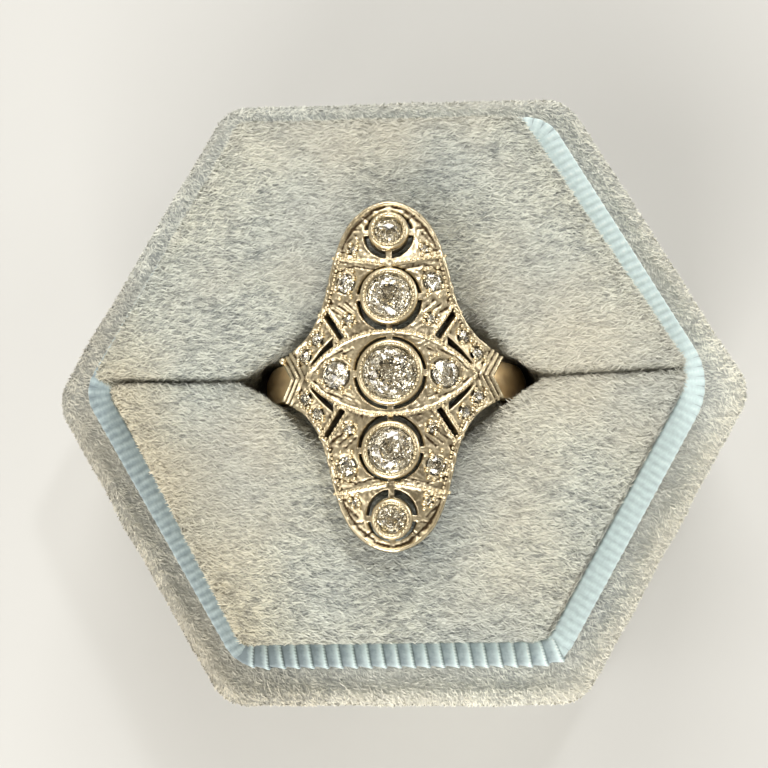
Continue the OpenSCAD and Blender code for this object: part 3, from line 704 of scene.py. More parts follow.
def makeCushion(name, node, side):
    # drawn as the back cushion; a side of -1 mirrors it to the front
    s = cushionSizes
    outline = cushionOutline()
    rise = s["top"] - s["edge"] - s["wallsEnd"] - s["bottom"]
    rings = [wallRing(outline, s["bottom"] + rise * (k / s["walls"])) for k in range(s["walls"] + 1)]
    rim = rings[-1]
    centre = Vector((0, s["middle"]))
    for k in range(1, s["rings"]):
        out = 1 - (k / s["rings"]) ** s["ringsBunched"]
        ring = []
        for x0, y0, z0 in rim:
            x = centre.x + (x0 - centre.x) * out
            y = centre.y + (y0 - centre.y) * out
            ring.append((x, y, max(cushionTop(x, y), z0)))
        rings.append(ring)
    verts, faces = stackedRings(rings)
    if side < 0:
        verts = [(x, -y, z) for x, y, z in verts]
        faces = [tuple(reversed(f)) for f in faces]
    # above the ribbon the pressed-in padding sits unevenly
    shifts = s["backShifts"] if side > 0 else s["frontShifts"]
    for i, (x, y, z) in enumerate(verts):
        dx, dy = cornerShift(x * side, y * side, shifts)
        share = smooth((z - s["shiftFrom"]) / s["shiftOver"])
        verts[i] = (x + dx * share, y + dy * share, z)
    piece = meshPiece(name, verts, faces, velvetPale)
    faceOutwards(piece)
    shares = [smooth((v.co.z / mm - s["pileFrom"]) / s["pileOver"]) for v in piece.data.vertices]
    # on the cushions the shade-and-tone value only varies at random, as tone
    shadeAndTone = [s["shadeAndTone"] + s["shadeAndToneSpread"] * noise.noise(v.co * s["shadeAndToneScale"])
              for v in piece.data.vertices]
    growNap(piece, shares, shadeAndTone, s, (1.0, 0.15 * side, 0.1), velvetPale)
    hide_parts(node)
    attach(piece, "root")


makeCushion("cushionBack", "cushion_back", 1)
makeCushion("cushionFront", "cushion_front", -1)
print("cushions made")


# ribbon: a band folded over the collar, with its ribs set along it

ribbonSizes = {"outside": 20.38, "inside": 18.5, "corner": 1.95, "endCorner": 4.2, "top": 25.9, "drop": 6.4,
               "turnIn": 3.5, "thickness": 0.2, "fold": 0.22, "dome": 0.05, "ribHeight": 0.17, "thread": 0.26,
               "step": 0.5, "frontEdge": 0.25, "lowThread": 0.8, "lowThreadLight": 0.7, "sideRib": 0.3,
               "outerFade": 0.6}
# pulled into pleats along the front side, and lying in soft low ribs round the others; columns give
# the share of the rib's width and of its height
# in each kind's rib-light pair, the first number is the painted shade level in the valleys and the second how
# much painted highlight it gains towards the crest
ribKinds = {
    "pleats": {"pitch": 1.02, "overlap": 0.98, "height": 1, "slant": -0.4, "crest": (0, 1),
               "columns": [(0, -0.04), (0.15, 0.14), (0.4, 0.42), (0.62, 0.74), (0.78, 1), (0.88, 0.86),
                           (0.96, 0.3), (1, -0.04)]},
    "soft": {"pitch": 0.64, "overlap": 1.03, "height": 0.22, "slant": 0.1, "crest": (0.36, 0.22),
             "columns": [(k / 6, 0.5 - 0.5 * math.cos(2 * math.pi * k / 6) + 0.06) for k in range(7)]}}


def ribbonProfile():
    # across the folded ribbon, from its outer lower edge over the collar to its inner lower edge
    s = ribbonSizes
    half = (s["outside"] - s["inside"]) / 2 - s["ribHeight"] * 0.5
    turn = s["fold"]
    low = s["top"] - s["ribHeight"]
    bend = [math.radians(15 * k) for k in range(7)]
    rows = [(half, low - s["drop"] + (s["drop"] - turn) * k / 4) for k in range(5)]
    rows += [(half - turn + turn * math.cos(a), low - turn + turn * math.sin(a)) for a in bend[1:]]
    rows += [(half - turn - (2 * half - 2 * turn) * k / 6, low + s["dome"] * math.sin(math.pi * k / 6))
             for k in range(1, 6)]
    rows += [(-half + turn - turn * math.sin(a), low - turn + turn * math.cos(a)) for a in bend]
    return rows + [(-half, low - s["turnIn"] * k / 3) for k in range(1, 4)]


def threadRows(profile, step):
    # evenly spaced rows across the fold, each with its direction, far fewer where it is hidden
    rows = []
    for a, b in zip(profile, profile[1:]):
        a, b = Vector(a), Vector(b)
        visible = max(a.y, b.y) > ribbonSizes["top"] - 2.6
        count = max(1, round((b - a).length / (step if visible else step * 8)))
        rows += [(*a.lerp(b, k / count), (b - a).normalized()) for k in range(count)]
    return rows


def ribTree():
    tree, nodes, given = newTree("ribbonRibs", {"Rib": "Object", "Pitch": "Float", "Material": "Material"})
    along = nodes.add("GeometryNodeInputTangent").outputs[0]
    upright = nodes.add("FunctionNodeAxesToRotation", {0: (0, 0, 1), 1: along},
                        primary_axis="Z", secondary_axis="X")
    rib = nodes.add("GeometryNodeObjectInfo", {"Object": given["Rib"]})
    spread = nodes.add("GeometryNodeInstanceOnPoints", {
        "Points": spacedAlong(nodes, given, "Pitch"), "Instance": rib.outputs["Geometry"],
        "Rotation": upright.outputs[0]})
    closeTree(nodes, given, spread.outputs[0])
    return tree


def ribRun(profile, run, kind):
    # one rib drawn over the fold, with fine threads across it, set all along a stretch of the collar
    s = ribbonSizes
    fine = threadRows(profile[1:-1], s["thread"] / 2)
    wide = kind["pitch"] * kind["overlap"]
    base, gain = kind["crest"]
    verts, crest = [], []
    for k, (d, z, t) in enumerate(fine):
        outward = Vector((t.y, -t.x))
        lean = kind["slant"] * (0.5 - k / (len(fine) - 1)) * len(fine) / 22
        thread = 1 if k % 2 else s["lowThread"]
        # low ribs down both sides; the tree sets this profile's outer side inside the collar, so that
        # on top they fade inwards, and outside they end where the ribbon is turned in
        side = s["sideRib"] if z < s["top"] - 0.5 else 1 - s["outerFade"] * smooth(d / 0.8)
        for share, up in kind["columns"]:
            height = s["ribHeight"] * kind["height"] * side * up * (thread if up > 0 else 1)
            q = Vector((d, z)) + outward * height
            shift = 0.5 * (thread - 0.9) if 0.5 < share < 0.9 else 0
            verts.append(((share - 0.5) * wide + lean + shift * kind["height"], q.x, q.y))
            # painted highlight towards each crest and painted shade in the valleys, less light on the lower
            # threads
            crest.append(base + gain * max(up, 0) ** 2 * (1 if k % 2 else s["lowThreadLight"]))
    n = len(kind["columns"])
    faces = [(a, a + n, a + n + 1, a + 1) for k in range(len(fine) - 1) for a in range(k * n, k * n + n - 1)]
    rib = meshPiece("rib", verts, faces, ribbonBlue)
    mark(rib, "crest", crest)
    host = curveHost("collarPath", [([(p.x, p.y, 0) for p in run], False)])
    ribs = growMesh(host, ribShape, {"Rib": rib, "Pitch": kind["pitch"] * mm, "Material": ribbonBlue}, "ribs")
    discard(rib, host)
    return ribs


def makeRibbon():
    s = ribbonSizes
    middle = (s["outside"] + s["inside"]) / 2
    path = roundedPath(hexCorners(middle), [s["endCorner"]] + [s["corner"]] * 5, s["step"])
    profile = ribbonProfile()
    floor = s["top"] - s["ribHeight"] - s["thickness"]
    loop = profile + [(d * 0.72, min(z, floor)) for d, z in reversed(profile)]
    n, m = len(path), len(loop)
    verts = []
    for i, here in enumerate(path):
        along = (path[(i + 1) % n] - path[i - 1]).normalized()
        out = Vector((along.y, -along.x))
        for d, z in loop:
            p = here + out * d
            verts.append((p.x, p.y, z))
    faces = []
    for i in range(n):
        for k in range(m):
            j, l = (i + 1) % n, (k + 1) % m
            faces.append((i * m + k, i * m + l, j * m + l, j * m + k))
    piece = meshPiece("ribbonBand", verts, faces, ribbonBlue)
    faceOutwards(piece)

    # the front side, and the rest of the way round from the front side's end
    edge = s["frontEdge"] - middle
    front = sorted([p for p in path if p.y < edge], key=lambda p: p.x)
    rest = [p for p in path if p.y >= edge]
    first = max(range(len(rest)), key=lambda i: (rest[i] - rest[i - 1]).length)
    rest = rest[first:] + rest[:first]
    joinPieces(piece, ribRun(profile, front, ribKinds["pleats"]))
    joinPieces(piece, ribRun(profile, rest, ribKinds["soft"]))
    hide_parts("ribbon")
    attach(piece, "root")


ribShape = ribTree()
makeRibbon()
print("ribbon made")


# ring head: a pierced plate with its relief worked out over a fine grid, bent onto a barrel; past the
# crease the face falls towards its ends, by so many degrees

headSizes = {
    "halfWidth": 7.9, "halfLength": 12.15, "radius": 10.1, "hole": 8.45, "centreHeight": 23.6,
    "creaseAt": 7.5, "fall": 9.5, "pitch": 0.078, "plate": 1.0, "wall": 0.6, "notch": 0.905}
# share of the half length and of the half width along one quarter of the outline
headOutline = [(1.0, 0.0), (0.976, 0.15), (0.932, 0.262), (0.866, 0.358), (0.774, 0.432), (0.658, 0.492),
               (0.518, 0.548), (0.395, 0.598), (0.288, 0.68), (0.202, 0.797), (0.114, 0.995)]
# for each bezel its place along the face, outer radius, stone's radius, width of the open gap round it
# and how far that gap is moved towards the middle
bezels = [{"at": at, "radius": radius, "stone": stone, "gap": gap, "shift": math.copysign(shift, at)}
          for at, radius, stone, gap, shift in (
              (0, 2.26, 1.85, 0.26, 0), (5.26, 1.98, 1.57, 0.3, 0.14), (-5.26, 1.98, 1.57, 0.3, 0.14),
              (9.86, 1.4, 0.99, 0.36, 0.2), (-9.86, 1.4, 0.99, 0.36, 0.2))]
# bridges are bars left across each gap, by half their width, and the ledge is what the plate keeps
# under each cup
bezelSizes = {"height": 0.45, "depth": 0.9, "bridge": 0.2, "ledge": 0.2, "segments": 72, "bright": 9.2}
# bead-set stones in one quarter: across, along, radius
smallStones = [(3.808, 0, 0.95), (3.073, 6.306, 0.65), (6.051, 1.494, 0.45), (5.151, 2.612, 0.45),
               (2.876, 3.754, 0.36), (2.528, 8.699, 0.3)]
# the marquise panel round the centre stone, with a curved slit along the outside of each quarter
panel = {"half": 5.886, "rise": 2.892, "frame": 0.3, "slitFrom": 3.95, "slitTo": 5.62, "slitWide": 0.5,
         "slitNarrow": 0.14, "margin": 0.04}
panelRadius = (panel["half"] ** 2 + panel["rise"] ** 2) / (2 * panel["rise"])
# in each quarter a straight slot, and a bar across the shoulder with a lower one beside it
slot = {"ends": ((3.271, 2.454), (4.543, 4.386)), "half": 0.2}
barEnds = ((0.35, 7.55), (3.85, 8.15))
lowBarEnds = ((1.25, 7.27), (3.85, 7.73))
reliefSizes = {
    "sunk": 0.2, "sunkFrom": 0.26, "sunkTo": 0.44, "dishFrom": 0.15, "dishTo": 1.5, "endFrom": 8.0,
    "endTo": 8.8, "rim": 0.34, "rimHeight": 0.17, "rounding": 0.09, "roundingDrop": 0.1, "frameHeight": 0.13,
    "panelRise": 0.06, "bar": 0.34, "barHeight": 0.13, "lowBar": 0.22, "lowBarHeight": 0.06,
    "slotEdge": 0.26, "slotEdgeHeight": 0.14, "slitEdge": 0.2, "slitEdgeHeight": 0.1, "chevronPitch": 0.36,
    "chevronHeight": 0.17, "chevronFrom": 0.14, "chevronDepth": 1.08, "chevronHalf": 2.1,
    "cupEdge": 0.2, "cupEdgeHeight": 0.05, "bevel": 0.16, "bevelDrop": 0.1}
engravingSizes = {"half": 0.14, "depth": 0.09}
toolSizes = {"waves": ((0.9, 0.012), (0.45, 0.013), (0.24, 0.009)), "count": 7, "depth": 0.4, "seed": 11}
polishSizes = {"level": 0.42, "proud": 7.5, "high": 0.4, "seats": 0.7, "reach": 4}
# engraved strokes in one quarter, from and to: leaves at the ends, fans beside the bezels, a fringe in
# the panel and strokes between the wing's stones
strokes = [
    ((3.35, 8.75), (2.95, 9.55)), ((2.95, 9.55), (2.2, 10.5)), ((3.0, 9.1), (2.35, 9.75)),
    ((2.2, 10.5), (1.2, 11.3)), ((2.6, 10.2), (2.0, 10.1)), ((1.75, 11.0), (1.4, 10.75)),
    ((1.2, 11.45), (0.3, 11.7)), ((3.55, 8.6), (2.5, 8.45)), ((2.55, 4.0), (3.5, 4.75)),
    ((3.0, 3.85), (3.95, 4.5)), ((2.4, 4.35), (3.05, 5.0)), ((4.05, 5.0), (4.5, 5.75)),
    ((4.1, 5.6), (4.25, 6.5)), ((3.7, 7.1), (2.4, 7.5)), ((1.0, 7.15), (2.3, 7.45)),
    ((2.35, 6.6), (2.5, 7.2)), ((4.3, 1.2), (3.3, 1.65)), ((4.9, 0.75), (4.5, 1.2)),
    ((2.55, 1.7), (3.2, 1.4)), ((5.3, 0.35), (4.95, 0.6)), ((5.5, 3.2), (4.85, 3.75)),
    ((6.2, 2.45), (5.7, 2.95)), ((6.75, 1.15), (6.35, 0.85)), ((5.6, 1.3), (5.9, 0.85))]


def smoothStep(a, b, x):
    t = np.clip((x - a) / (b - a), 0, 1)
    return t * t * (3 - 2 * t)


def outlineLoop():
    # the quarter is drawn as a smooth curve, level at the very end of the face, and set in all four
    s = headSizes
    quarter = [Vector((w * s["halfWidth"], l * s["halfLength"])) for l, w in headOutline]
    points = [Vector((-quarter[1].x, quarter[1].y))] + quarter + [quarter[-1] * 2 - quarter[-2]]
    curve = []
    for i in range(1, len(points) - 2):
        a, b, c, d = points[i - 1:i + 3]
        for k in range(6):
            t = k / 6
            curve.append(0.5 * ((2 * b) + (c - a) * t + (2 * a - 5 * b + 4 * c - d) * t ** 2
                                + (3 * b - a - 3 * c + d) * t ** 3))
    curve.append(quarter[-1])
    right = [Vector((s["notch"] * s["halfWidth"], 0))] + curve[::-1]
    upper = right + [Vector((-p.x, p.y)) for p in curve[1:]]
    return upper + [Vector((-p.x, -p.y)) for p in upper]


def edgeDistance(u, v):
    # distance to the head's outline, negative inside
    best = np.full(u.shape, 1e9)
    inside = np.zeros(u.shape, bool)
    for a, b in zip(headLoop, headLoop[1:] + headLoop[:1]):
        eu, ev = b.x - a.x, b.y - a.y
        length = max(eu * eu + ev * ev, 1e-12)
        t = np.clip(((u - a.x) * eu + (v - a.y) * ev) / length, 0, 1)
        best = np.minimum(best, np.hypot(u - a.x - t * eu, v - a.y - t * ev))
        if abs(ev) > 1e-12:
            inside ^= ((a.y > v) != (b.y > v)) & (u < (v - a.y) * eu / ev + a.x)
    return np.where(inside, -best, best)


def lineDistance(a, b, ends):
    # distance from a straight line between two points, in the folded quarter
    (u0, v0), (u1, v1) = ends
    eu, ev = u1 - u0, v1 - v0
    t = np.clip(((a - u0) * eu + (b - v0) * ev) / (eu * eu + ev * ev), 0, 1)
    return np.hypot(a - u0 - t * eu, b - v0 - t * ev)


def slotDistance(a, b):
    (u0, v0), (u1, v1) = slot["ends"]
    length = math.hypot(u1 - u0, v1 - v0)
    cu, cv = (u1 - u0) / length, (v1 - v0) / length
    mu, mv = (u0 + u1) / 2, (v0 + v1) / 2
    along = np.abs((a - mu) * cu + (b - mv) * cv) - length / 2
    across = np.abs(-(a - mu) * cv + (b - mv) * cu) - slot["half"]
    return np.maximum(along, across)


def panelDistance(a, b):
    # distance outside the marquise panel's two arcs, measured from one of them
    return np.hypot(a, b - (panel["rise"] - panelRadius)) - panelRadius


def slitDistance(a, b):
    p = panel
    s = panelDistance(a, b) - p["frame"] / 2 - p["margin"]
    t = np.clip((a - p["slitFrom"]) / (p["slitTo"] - p["slitFrom"]), 0, 1)
    wide = p["slitWide"] + (p["slitNarrow"] - p["slitWide"]) * t
    return np.maximum(np.maximum(-s, s - wide), np.maximum(p["slitFrom"] - a, a - p["slitTo"]))


def gapRing(u, v, cup):
    # distance outside the outer edge of the gap round a bezel
    return np.hypot(u, v - cup["at"] + cup["shift"]) - cup["radius"] - cup["gap"]


def metalField(u, v):
    # negative where there is metal: inside the outline, and outside every gap and seat
    a, b = np.abs(u), np.abs(v)
    s = bezelSizes
    field = np.maximum(edgeDistance(u, v), -slotDistance(a, b))
    field = np.maximum(field, -slitDistance(a, b))
    for cup in bezels:
        fromCup = np.hypot(u, v - cup["at"])
        gap = np.maximum(gapRing(u, v, cup), cup["radius"] - fromCup)
        bridges = np.maximum(s["bridge"] - np.abs(u), s["bridge"] - np.abs(v - cup["at"]))
        field = np.maximum(field, -np.maximum(gap, bridges))
        field = np.maximum(field, cup["radius"] - s["ledge"] - fromCup)
    for su, sv, radius in smallStones:
        field = np.maximum(field, radius * 0.99 - np.hypot(a - su, b - sv))
    return field


def ridge(distance, width, height):
    return height * np.clip(1 - (distance / (width / 2)) ** 2, 0, 1) ** 0.7


def reliefHeight(u, v, edge):
    # height over the barrel: rim, frames, bars, ridges and the sunk fields between them
    s = reliefSizes
    a, b = np.abs(u), np.abs(v)
    inside = -edge
    endPart = smoothStep(s["endFrom"], s["endTo"], b)
    field = -s["sunk"] * smoothStep(s["sunkFrom"], s["sunkTo"], inside) * (1 - endPart)
    field -= s["sunk"] * smoothStep(s["dishFrom"], s["dishTo"], inside) * endPart
    h = field + ridge(inside - s["rim"] / 2, s["rim"], s["rimHeight"])
    wearAndShade = s["roundingDrop"] * (1 - inside / s["rounding"]) ** 2
    h = np.where(inside < s["rounding"], h - wearAndShade, h)
    # frame of the panel, then the bars and the raised edges of slots and slits
    away = -9  # takes a ridge out of play
    fromPanel = panelDistance(a, b)
    h = np.maximum(h, ridge(np.abs(fromPanel), panel["frame"], s["frameHeight"])
                   + np.where(a < panel["half"] + 0.1, 0, away))
    h = np.where(fromPanel < 0, h + s["panelRise"], h)
    h = np.maximum(h, ridge(lineDistance(a, b, barEnds), s["bar"], s["barHeight"]) - 0.02)
    h = np.maximum(h, ridge(lineDistance(a, b, lowBarEnds), s["lowBar"], s["lowBarHeight"]) - 0.04)
    h = np.maximum(h, ridge(slotDistance(a, b) - 0.12, s["slotEdge"], s["slotEdgeHeight"]))
    h = np.maximum(h, ridge(slitDistance(a, b) - 0.1, s["slitEdge"], s["slitEdgeHeight"])
                   + np.where(fromPanel > 0.1, 0, away))
    # chevron ridges beside the notch in each wing
    tip = (headOutline[-1][1] * headSizes["halfWidth"], headOutline[-1][0] * headSizes["halfLength"])
    notch = headSizes["notch"] * headSizes["halfWidth"]
    slope = (tip[0] - notch) / tip[1]
    back = (notch + b * slope - a) / math.hypot(1, slope)
    wave = np.cos(2 * math.pi * (back - s["chevronFrom"]) / s["chevronPitch"])
    chevron = s["chevronHeight"] * (0.5 + 0.5 * wave) - 0.05
    h = np.where((back < s["chevronDepth"]) & (b < s["chevronHalf"]), np.maximum(chevron, h - 0.15), h)
    # a low bright edge round each bezel's gap, and a bevel into each small seat
    for cup in bezels:
        h = np.maximum(h, ridge(gapRing(u, v, cup) - 0.1, s["cupEdge"], s["cupEdgeHeight"]) - 0.04)
    for su, sv, radius in smallStones:
        far = np.hypot(a - su, b - sv) - radius
        drop = s["bevelDrop"] * (1 - np.clip(far, 0, s["bevel"]) / s["bevel"])
        h = np.where(far < s["bevel"], np.minimum(h, -0.02 - drop), h)
    return h


def engraving(u, v):
    cut = np.zeros(u.shape)
    for ends in strokes:
        far = lineDistance(np.abs(u), np.abs(v), ends)
        cut = np.maximum(cut, np.clip(1 - far / engravingSizes["half"], 0, 1))
    return -engravingSizes["depth"] * cut ** 0.8


def toolMarks(u, v):
    # unevenness of hand work, from a few fixed waves of three lengths
    s = toolSizes
    marks = np.zeros(u.shape)
    rng = np.random.default_rng(s["seed"])
    for length, size in s["waves"]:
        for k in range(s["count"]):
            turn, phase = rng.uniform(0, 2 * math.pi, 2)
            wave = (u * math.cos(turn) + v * math.sin(turn)) * 2 * math.pi / length + phase
            marks += size * np.sin(wave + 1.7 * np.sin(wave * 0.37 + phase))
    return marks * s["depth"]


def blurred(values, reach):
    # mean over a square of cells, from running sums
    padded = np.pad(values, reach + 1, mode="edge").cumsum(0).cumsum(1)
    size = 2 * reach + 1
    total = padded[size:, size:] - padded[:-size, size:] - padded[size:, :-size] + padded[:-size, :-size]
    return total[:values.shape[0], :values.shape[1]] / size ** 2


def onBarrel(u, v, h):
    s = headSizes
    past = np.clip(np.abs(v) - s["creaseAt"], 0, None)
    radius = s["radius"] - past * math.tan(math.radians(s["fall"]))
    x = (radius + h) * u / radius
    z = s["centreHeight"] + (radius + h) * np.sqrt(np.clip(1 - (u / radius) ** 2, 0, 1))
    return np.stack([x, v, z], -1)


def drawToEdge(u, v):
    # move points on the border of the kept cells onto the metal's true edge
    step = 0.01
    for turn in range(3):
        f = metalField(u, v)
        gu = (metalField(u + step, v) - metalField(u - step, v)) / (2 * step)
        gv = (metalField(u, v + step) - metalField(u, v - step)) / (2 * step)
        size = np.maximum(gu ** 2 + gv ** 2, 0.25)
        move = np.clip(f, -0.06, 0.06)
        u, v = u - move * gu / size, v - move * gv / size
    return u, v


def makeHead():
    s = headSizes
    reachU, reachV = s["halfWidth"] + 0.1, s["halfLength"] + 0.1
    u, v = np.meshgrid(np.linspace(-reachU, reachU, round(2 * reachU / s["pitch"]) + 1),
                       np.linspace(-reachV, reachV, round(2 * reachV / s["pitch"]) + 1))
    kept = metalField((u[:-1, :-1] + u[1:, 1:]) / 2, (v[:-1, :-1] + v[1:, 1:]) / 2) < 0
    used = np.zeros(u.shape, int)  # how many kept cells touch each point
    for dv in (0, 1):
        for du in (0, 1):
            used[dv:dv + kept.shape[0], du:du + kept.shape[1]] += kept
    border = (used > 0) & (used < 4)
    u[border], v[border] = drawToEdge(u[border], v[border])
    edge = edgeDistance(u, v)
    h = reliefHeight(u, v, edge) + toolMarks(u, v) + engraving(u, v)
    deeper = s["radius"] - s["hole"] - s["plate"]  # the plate's edge reaches down to the finger hole
    depth = s["plate"] + deeper * smoothStep(-s["wall"] - 0.1, -s["wall"] + 0.05, edge)
    shown = used > 0
    count = int(shown.sum())
    verts = np.concatenate([onBarrel(u, v, h)[shown], onBarrel(u, v, -depth)[shown]]).tolist()
    number = np.full(u.shape, -1)
    number[shown] = np.arange(count)
    number = number.tolist()
    filled = np.pad(kept, 1)
    faces = []
    for j, i in np.argwhere(kept):
        a, b, c, d = number[j][i], number[j][i + 1], number[j + 1][i + 1], number[j + 1][i]
        faces.append((a, b, c, d))
        faces.append((d + count, c + count, b + count, a + count))
        # a wall wherever the next cell is open
        for beside, p, q in ((filled[j, i + 1], b, a), (filled[j + 2, i + 1], d, c),
                             (filled[j + 1, i], a, d), (filled[j + 1, i + 2], c, b)):
            if not beside:
                faces.append((p, q, q + count, p + count))
    piece = meshPiece("ringHead", verts, faces, whiteMetal)

    # polish stays on what stands proud of its surroundings; patina and painted shade darken the cuts and
    # corners
    seats = np.full(u.shape, 9.0)
    for su, sv, radius in smallStones:
        seats = np.minimum(seats, np.hypot(np.abs(u) - su, np.abs(v) - sv) - radius)
    p = polishSizes
    proud = h - blurred(h, p["reach"])
    polish = np.clip(p["level"] + p["proud"] * proud + p["high"] * smoothStep(-0.15, 0.1, h), 0, 1)
    polish = np.maximum(polish, p["seats"] * (seats < 0.1))
    mark(piece, "wearAndShade", np.concatenate([polish[shown], np.zeros(count)]))
    return piece


def faceFrame(place):
    # turns and moves a shape drawn at the origin onto the face at a place on its middle line
    s = headSizes
    past = max(abs(place) - s["creaseAt"], 0)
    tilt = -math.copysign(math.radians(s["fall"]), place) if past > 0 else 0
    radius = s["radius"] - past * math.tan(math.radians(s["fall"]))
    return Matrix.Translation((0, place, s["centreHeight"] + radius)) @ Matrix.Rotation(tilt, 4, "X")


def lathe(profile, frame4, segments, start):
    # a profile of radius and height turned round, with its points numbered from start
    verts, faces = [], []
    n = len(profile)
    for k in range(segments):
        a = 2 * math.pi * k / segments
        for r, z in profile:
            verts.append(tuple(frame4 @ Vector((r * math.cos(a), r * math.sin(a), z))))
        for i in range(n - 1):
            p, q = start + k * n + i, start + ((k + 1) % segments) * n + i
            faces.append((p, q, q + 1, p + 1))
    return verts, faces


def makeBezels():
    s = bezelSizes
    high, low = s["height"], -s["depth"]
    verts, faces = [], []
    for cup in bezels:
        radius, stone = cup["radius"], cup["stone"]
        inner = stone * 0.6
        # up the outside, over the rim and the grip on the stone; the seat follows the stone's lower
        # half just below it
        profile = [(inner, low), (radius - 0.12, low), (radius - 0.02, low + 0.1), (radius, -0.3),
                   (radius - 0.01, high - 0.2), (radius - 0.08, high - 0.09), (stone + 0.22, high - 0.01),
                   (stone + 0.12, high), (stone + 0.04, high - 0.06), (stone - 0.01, 0.26),
                   (stone - 0.03, 0.16), (stone - 0.03, 0.1), (stone + 0.015, 0.05),
                   (stone + 0.015, -0.06 * stone - 0.04), (stone * 0.86, -0.18 * stone - 0.04),
                   (inner, -0.41 * stone - 0.04), (inner, low)]
        more = lathe(profile, faceFrame(cup["at"]), s["segments"], len(verts))
        verts += more[0]
        faces += more[1]
    piece = meshPiece("bezelCups", verts, faces, whiteMetal)
    faceOutwards(piece)
    # bright on top and in the seat under the stone, darker down the outer wall, as patina and painted shade
    wearAndShade = []
    for v in piece.data.vertices:
        x, y, z = v.co / mm
        cup = min(bezels, key=lambda cup: abs(cup["at"] - y))
        seat = math.hypot(x, y - cup["at"]) < cup["stone"]
        wearAndShade.append(1.0 if seat or z > headSizes["centreHeight"] + s["bright"] else 0.3)
    mark(piece, "wearAndShade", wearAndShade)
    return piece


# shank: its start is how far above the finger hole's middle its ends stand, in degrees
shankSizes = {"inner": 8.45, "thickness": 1.3, "width": 2.6, "crown": 0.4, "start": 50, "steps": 150,
              "chamfer": 0.1, "wearAndShade": 0.8}


def makeShank():
    s = shankSizes
    half = s["width"] / 2
    outer = s["inner"] + s["thickness"]
    section = []
    for k in range(17):
        w = -half + s["width"] * k / 16
        section.append((w * 0.985, outer - s["crown"] * (w / half) ** 2))
    corner = [(half, outer - s["crown"] - s["chamfer"]), (half, s["inner"] + 0.12),
              (half - s["chamfer"], s["inner"] + 0.03)]
    section += corner
    section += [(half - s["chamfer"] - (s["width"] - 2 * s["chamfer"]) * k / 6, s["inner"] + 0.01)
                for k in range(1, 6)]
    section += [(-w, r) for w, r in reversed(corner)]
    rings = []
    for k in range(s["steps"] + 1):
        a = math.radians(s["start"] - (180 + 2 * s["start"]) * k / s["steps"])
        rings.append([(r * math.cos(a), w, headSizes["centreHeight"] + r * math.sin(a)) for w, r in section])
    piece = meshPiece("shank", *stackedRings(rings), yellowGold)
    faceOutwards(piece)
    mark(piece, "wearAndShade", [s["wearAndShade"]] * len(piece.data.vertices))
    return piece


# milgrain and beads: one tree sets grains along paths, and a grain alone has a very short path
grainSizes = {"spacing": 0.3, "radius": 0.12, "lift": 0.02, "smallest": 0.8, "largest": 1.12, "seed": 5,
              "segments": 8, "rings": 6, "cupOut": 0.13, "slotOut": 0.33, "rimIn": 0.42, "rimAcross": 6.4,
              "rimAlong": 8.6, "holder": 0.2, "filler": 0.15, "ball": 0.24,
              "ballPath": ((-7.6, 1.35), (-7.602, 1.35)), "ballLift": 0.12}
# fillers in one quarter's fields; those that would hang over an opening are left out
fillerPlaces = [(4.55, 0.72), (4.6, -0.7), (3.05, 1.18), (3.3, -1.25), (5.0, 0.3), (2.75, 0.95), (2.3, 5.1),
                (3.45, 5.3), (2.5, 7.15), (3.35, 7.3), (3.6, 6.5), (5.75, 2.1), (4.7, 3.05), (6.55, 1.0),
                (3.3, 3.3), (2.35, 3.55), (2.3, 8.2), (2.95, 8.25), (2.2, 9.2), (2.65, 5.35), (2.9, 7.25),
                (4.95, 3.3), (5.6, 2.55), (6.3, 2.0)]


def grainTree():
    s = grainSizes
    tree, nodes, given = newTree("milgrainRow", {"Spacing": "Float", "Bead": "Float", "Seed": "Int",
                                                 "Material": "Material"})
    ball = nodes.add("GeometryNodeMeshUVSphere", {
        "Segments": s["segments"], "Rings": s["rings"], "Radius": given["Bead"]})
    size = nodes.add("FunctionNodeRandomValue", {
        2: s["smallest"], 3: s["largest"], "Seed": given["Seed"]}, data_type="FLOAT")
    spread = nodes.add("GeometryNodeInstanceOnPoints", {
        "Points": spacedAlong(nodes, given, "Spacing"), "Instance": ball.outputs["Mesh"],
        "Scale": size.outputs[1]})
    closeTree(nodes, given, spread.outputs[0], rounded=True)
    return tree


def grainRow(name, paths, spacing, radius):
    host = curveHost(name + "Path", paths)
    grains = growMesh(host, grainShape, {"Spacing": spacing * mm, "Bead": radius * mm,
                                         "Seed": grainSizes["seed"], "Material": whiteMetal}, name)
    discard(host)
    return grains


def surfacePoint(u, v, lift):
    uu, vv = np.array([float(u)]), np.array([float(v)])
    return tuple(onBarrel(uu, vv, reliefHeight(uu, vv, edgeDistance(uu, vv)) + lift)[0])


def inQuarters(path):
    return [[(su * u, sv * v) for u, v in path] for su in (1, -1) for sv in (1, -1)]


def straight(ends, count, shift=(0, 0)):
    (u0, v0), (u1, v1) = ends
    return [(u0 + (u1 - u0) * k / count + shift[0], v0 + (v1 - v0) * k / count + shift[1])
            for k in range(count + 1)]


def rimRuns():
    # stretches just inside the rim, away from the wings' tips and the ends of the face
    s = grainSizes
    runs = [[]]
    for i in range(2, len(headLoop)):
        along = (headLoop[(i + 1) % len(headLoop)] - headLoop[i - 1]).normalized()
        p = headLoop[i] + Vector((-along.y, along.x)) * s["rimIn"]
        if abs(p.x) < s["rimAcross"] and abs(p.y) < s["rimAlong"]:
            runs[-1].append((p.x, p.y))
        elif runs[-1]:
            runs.append([])
    return [run for run in runs if len(run) > 3]


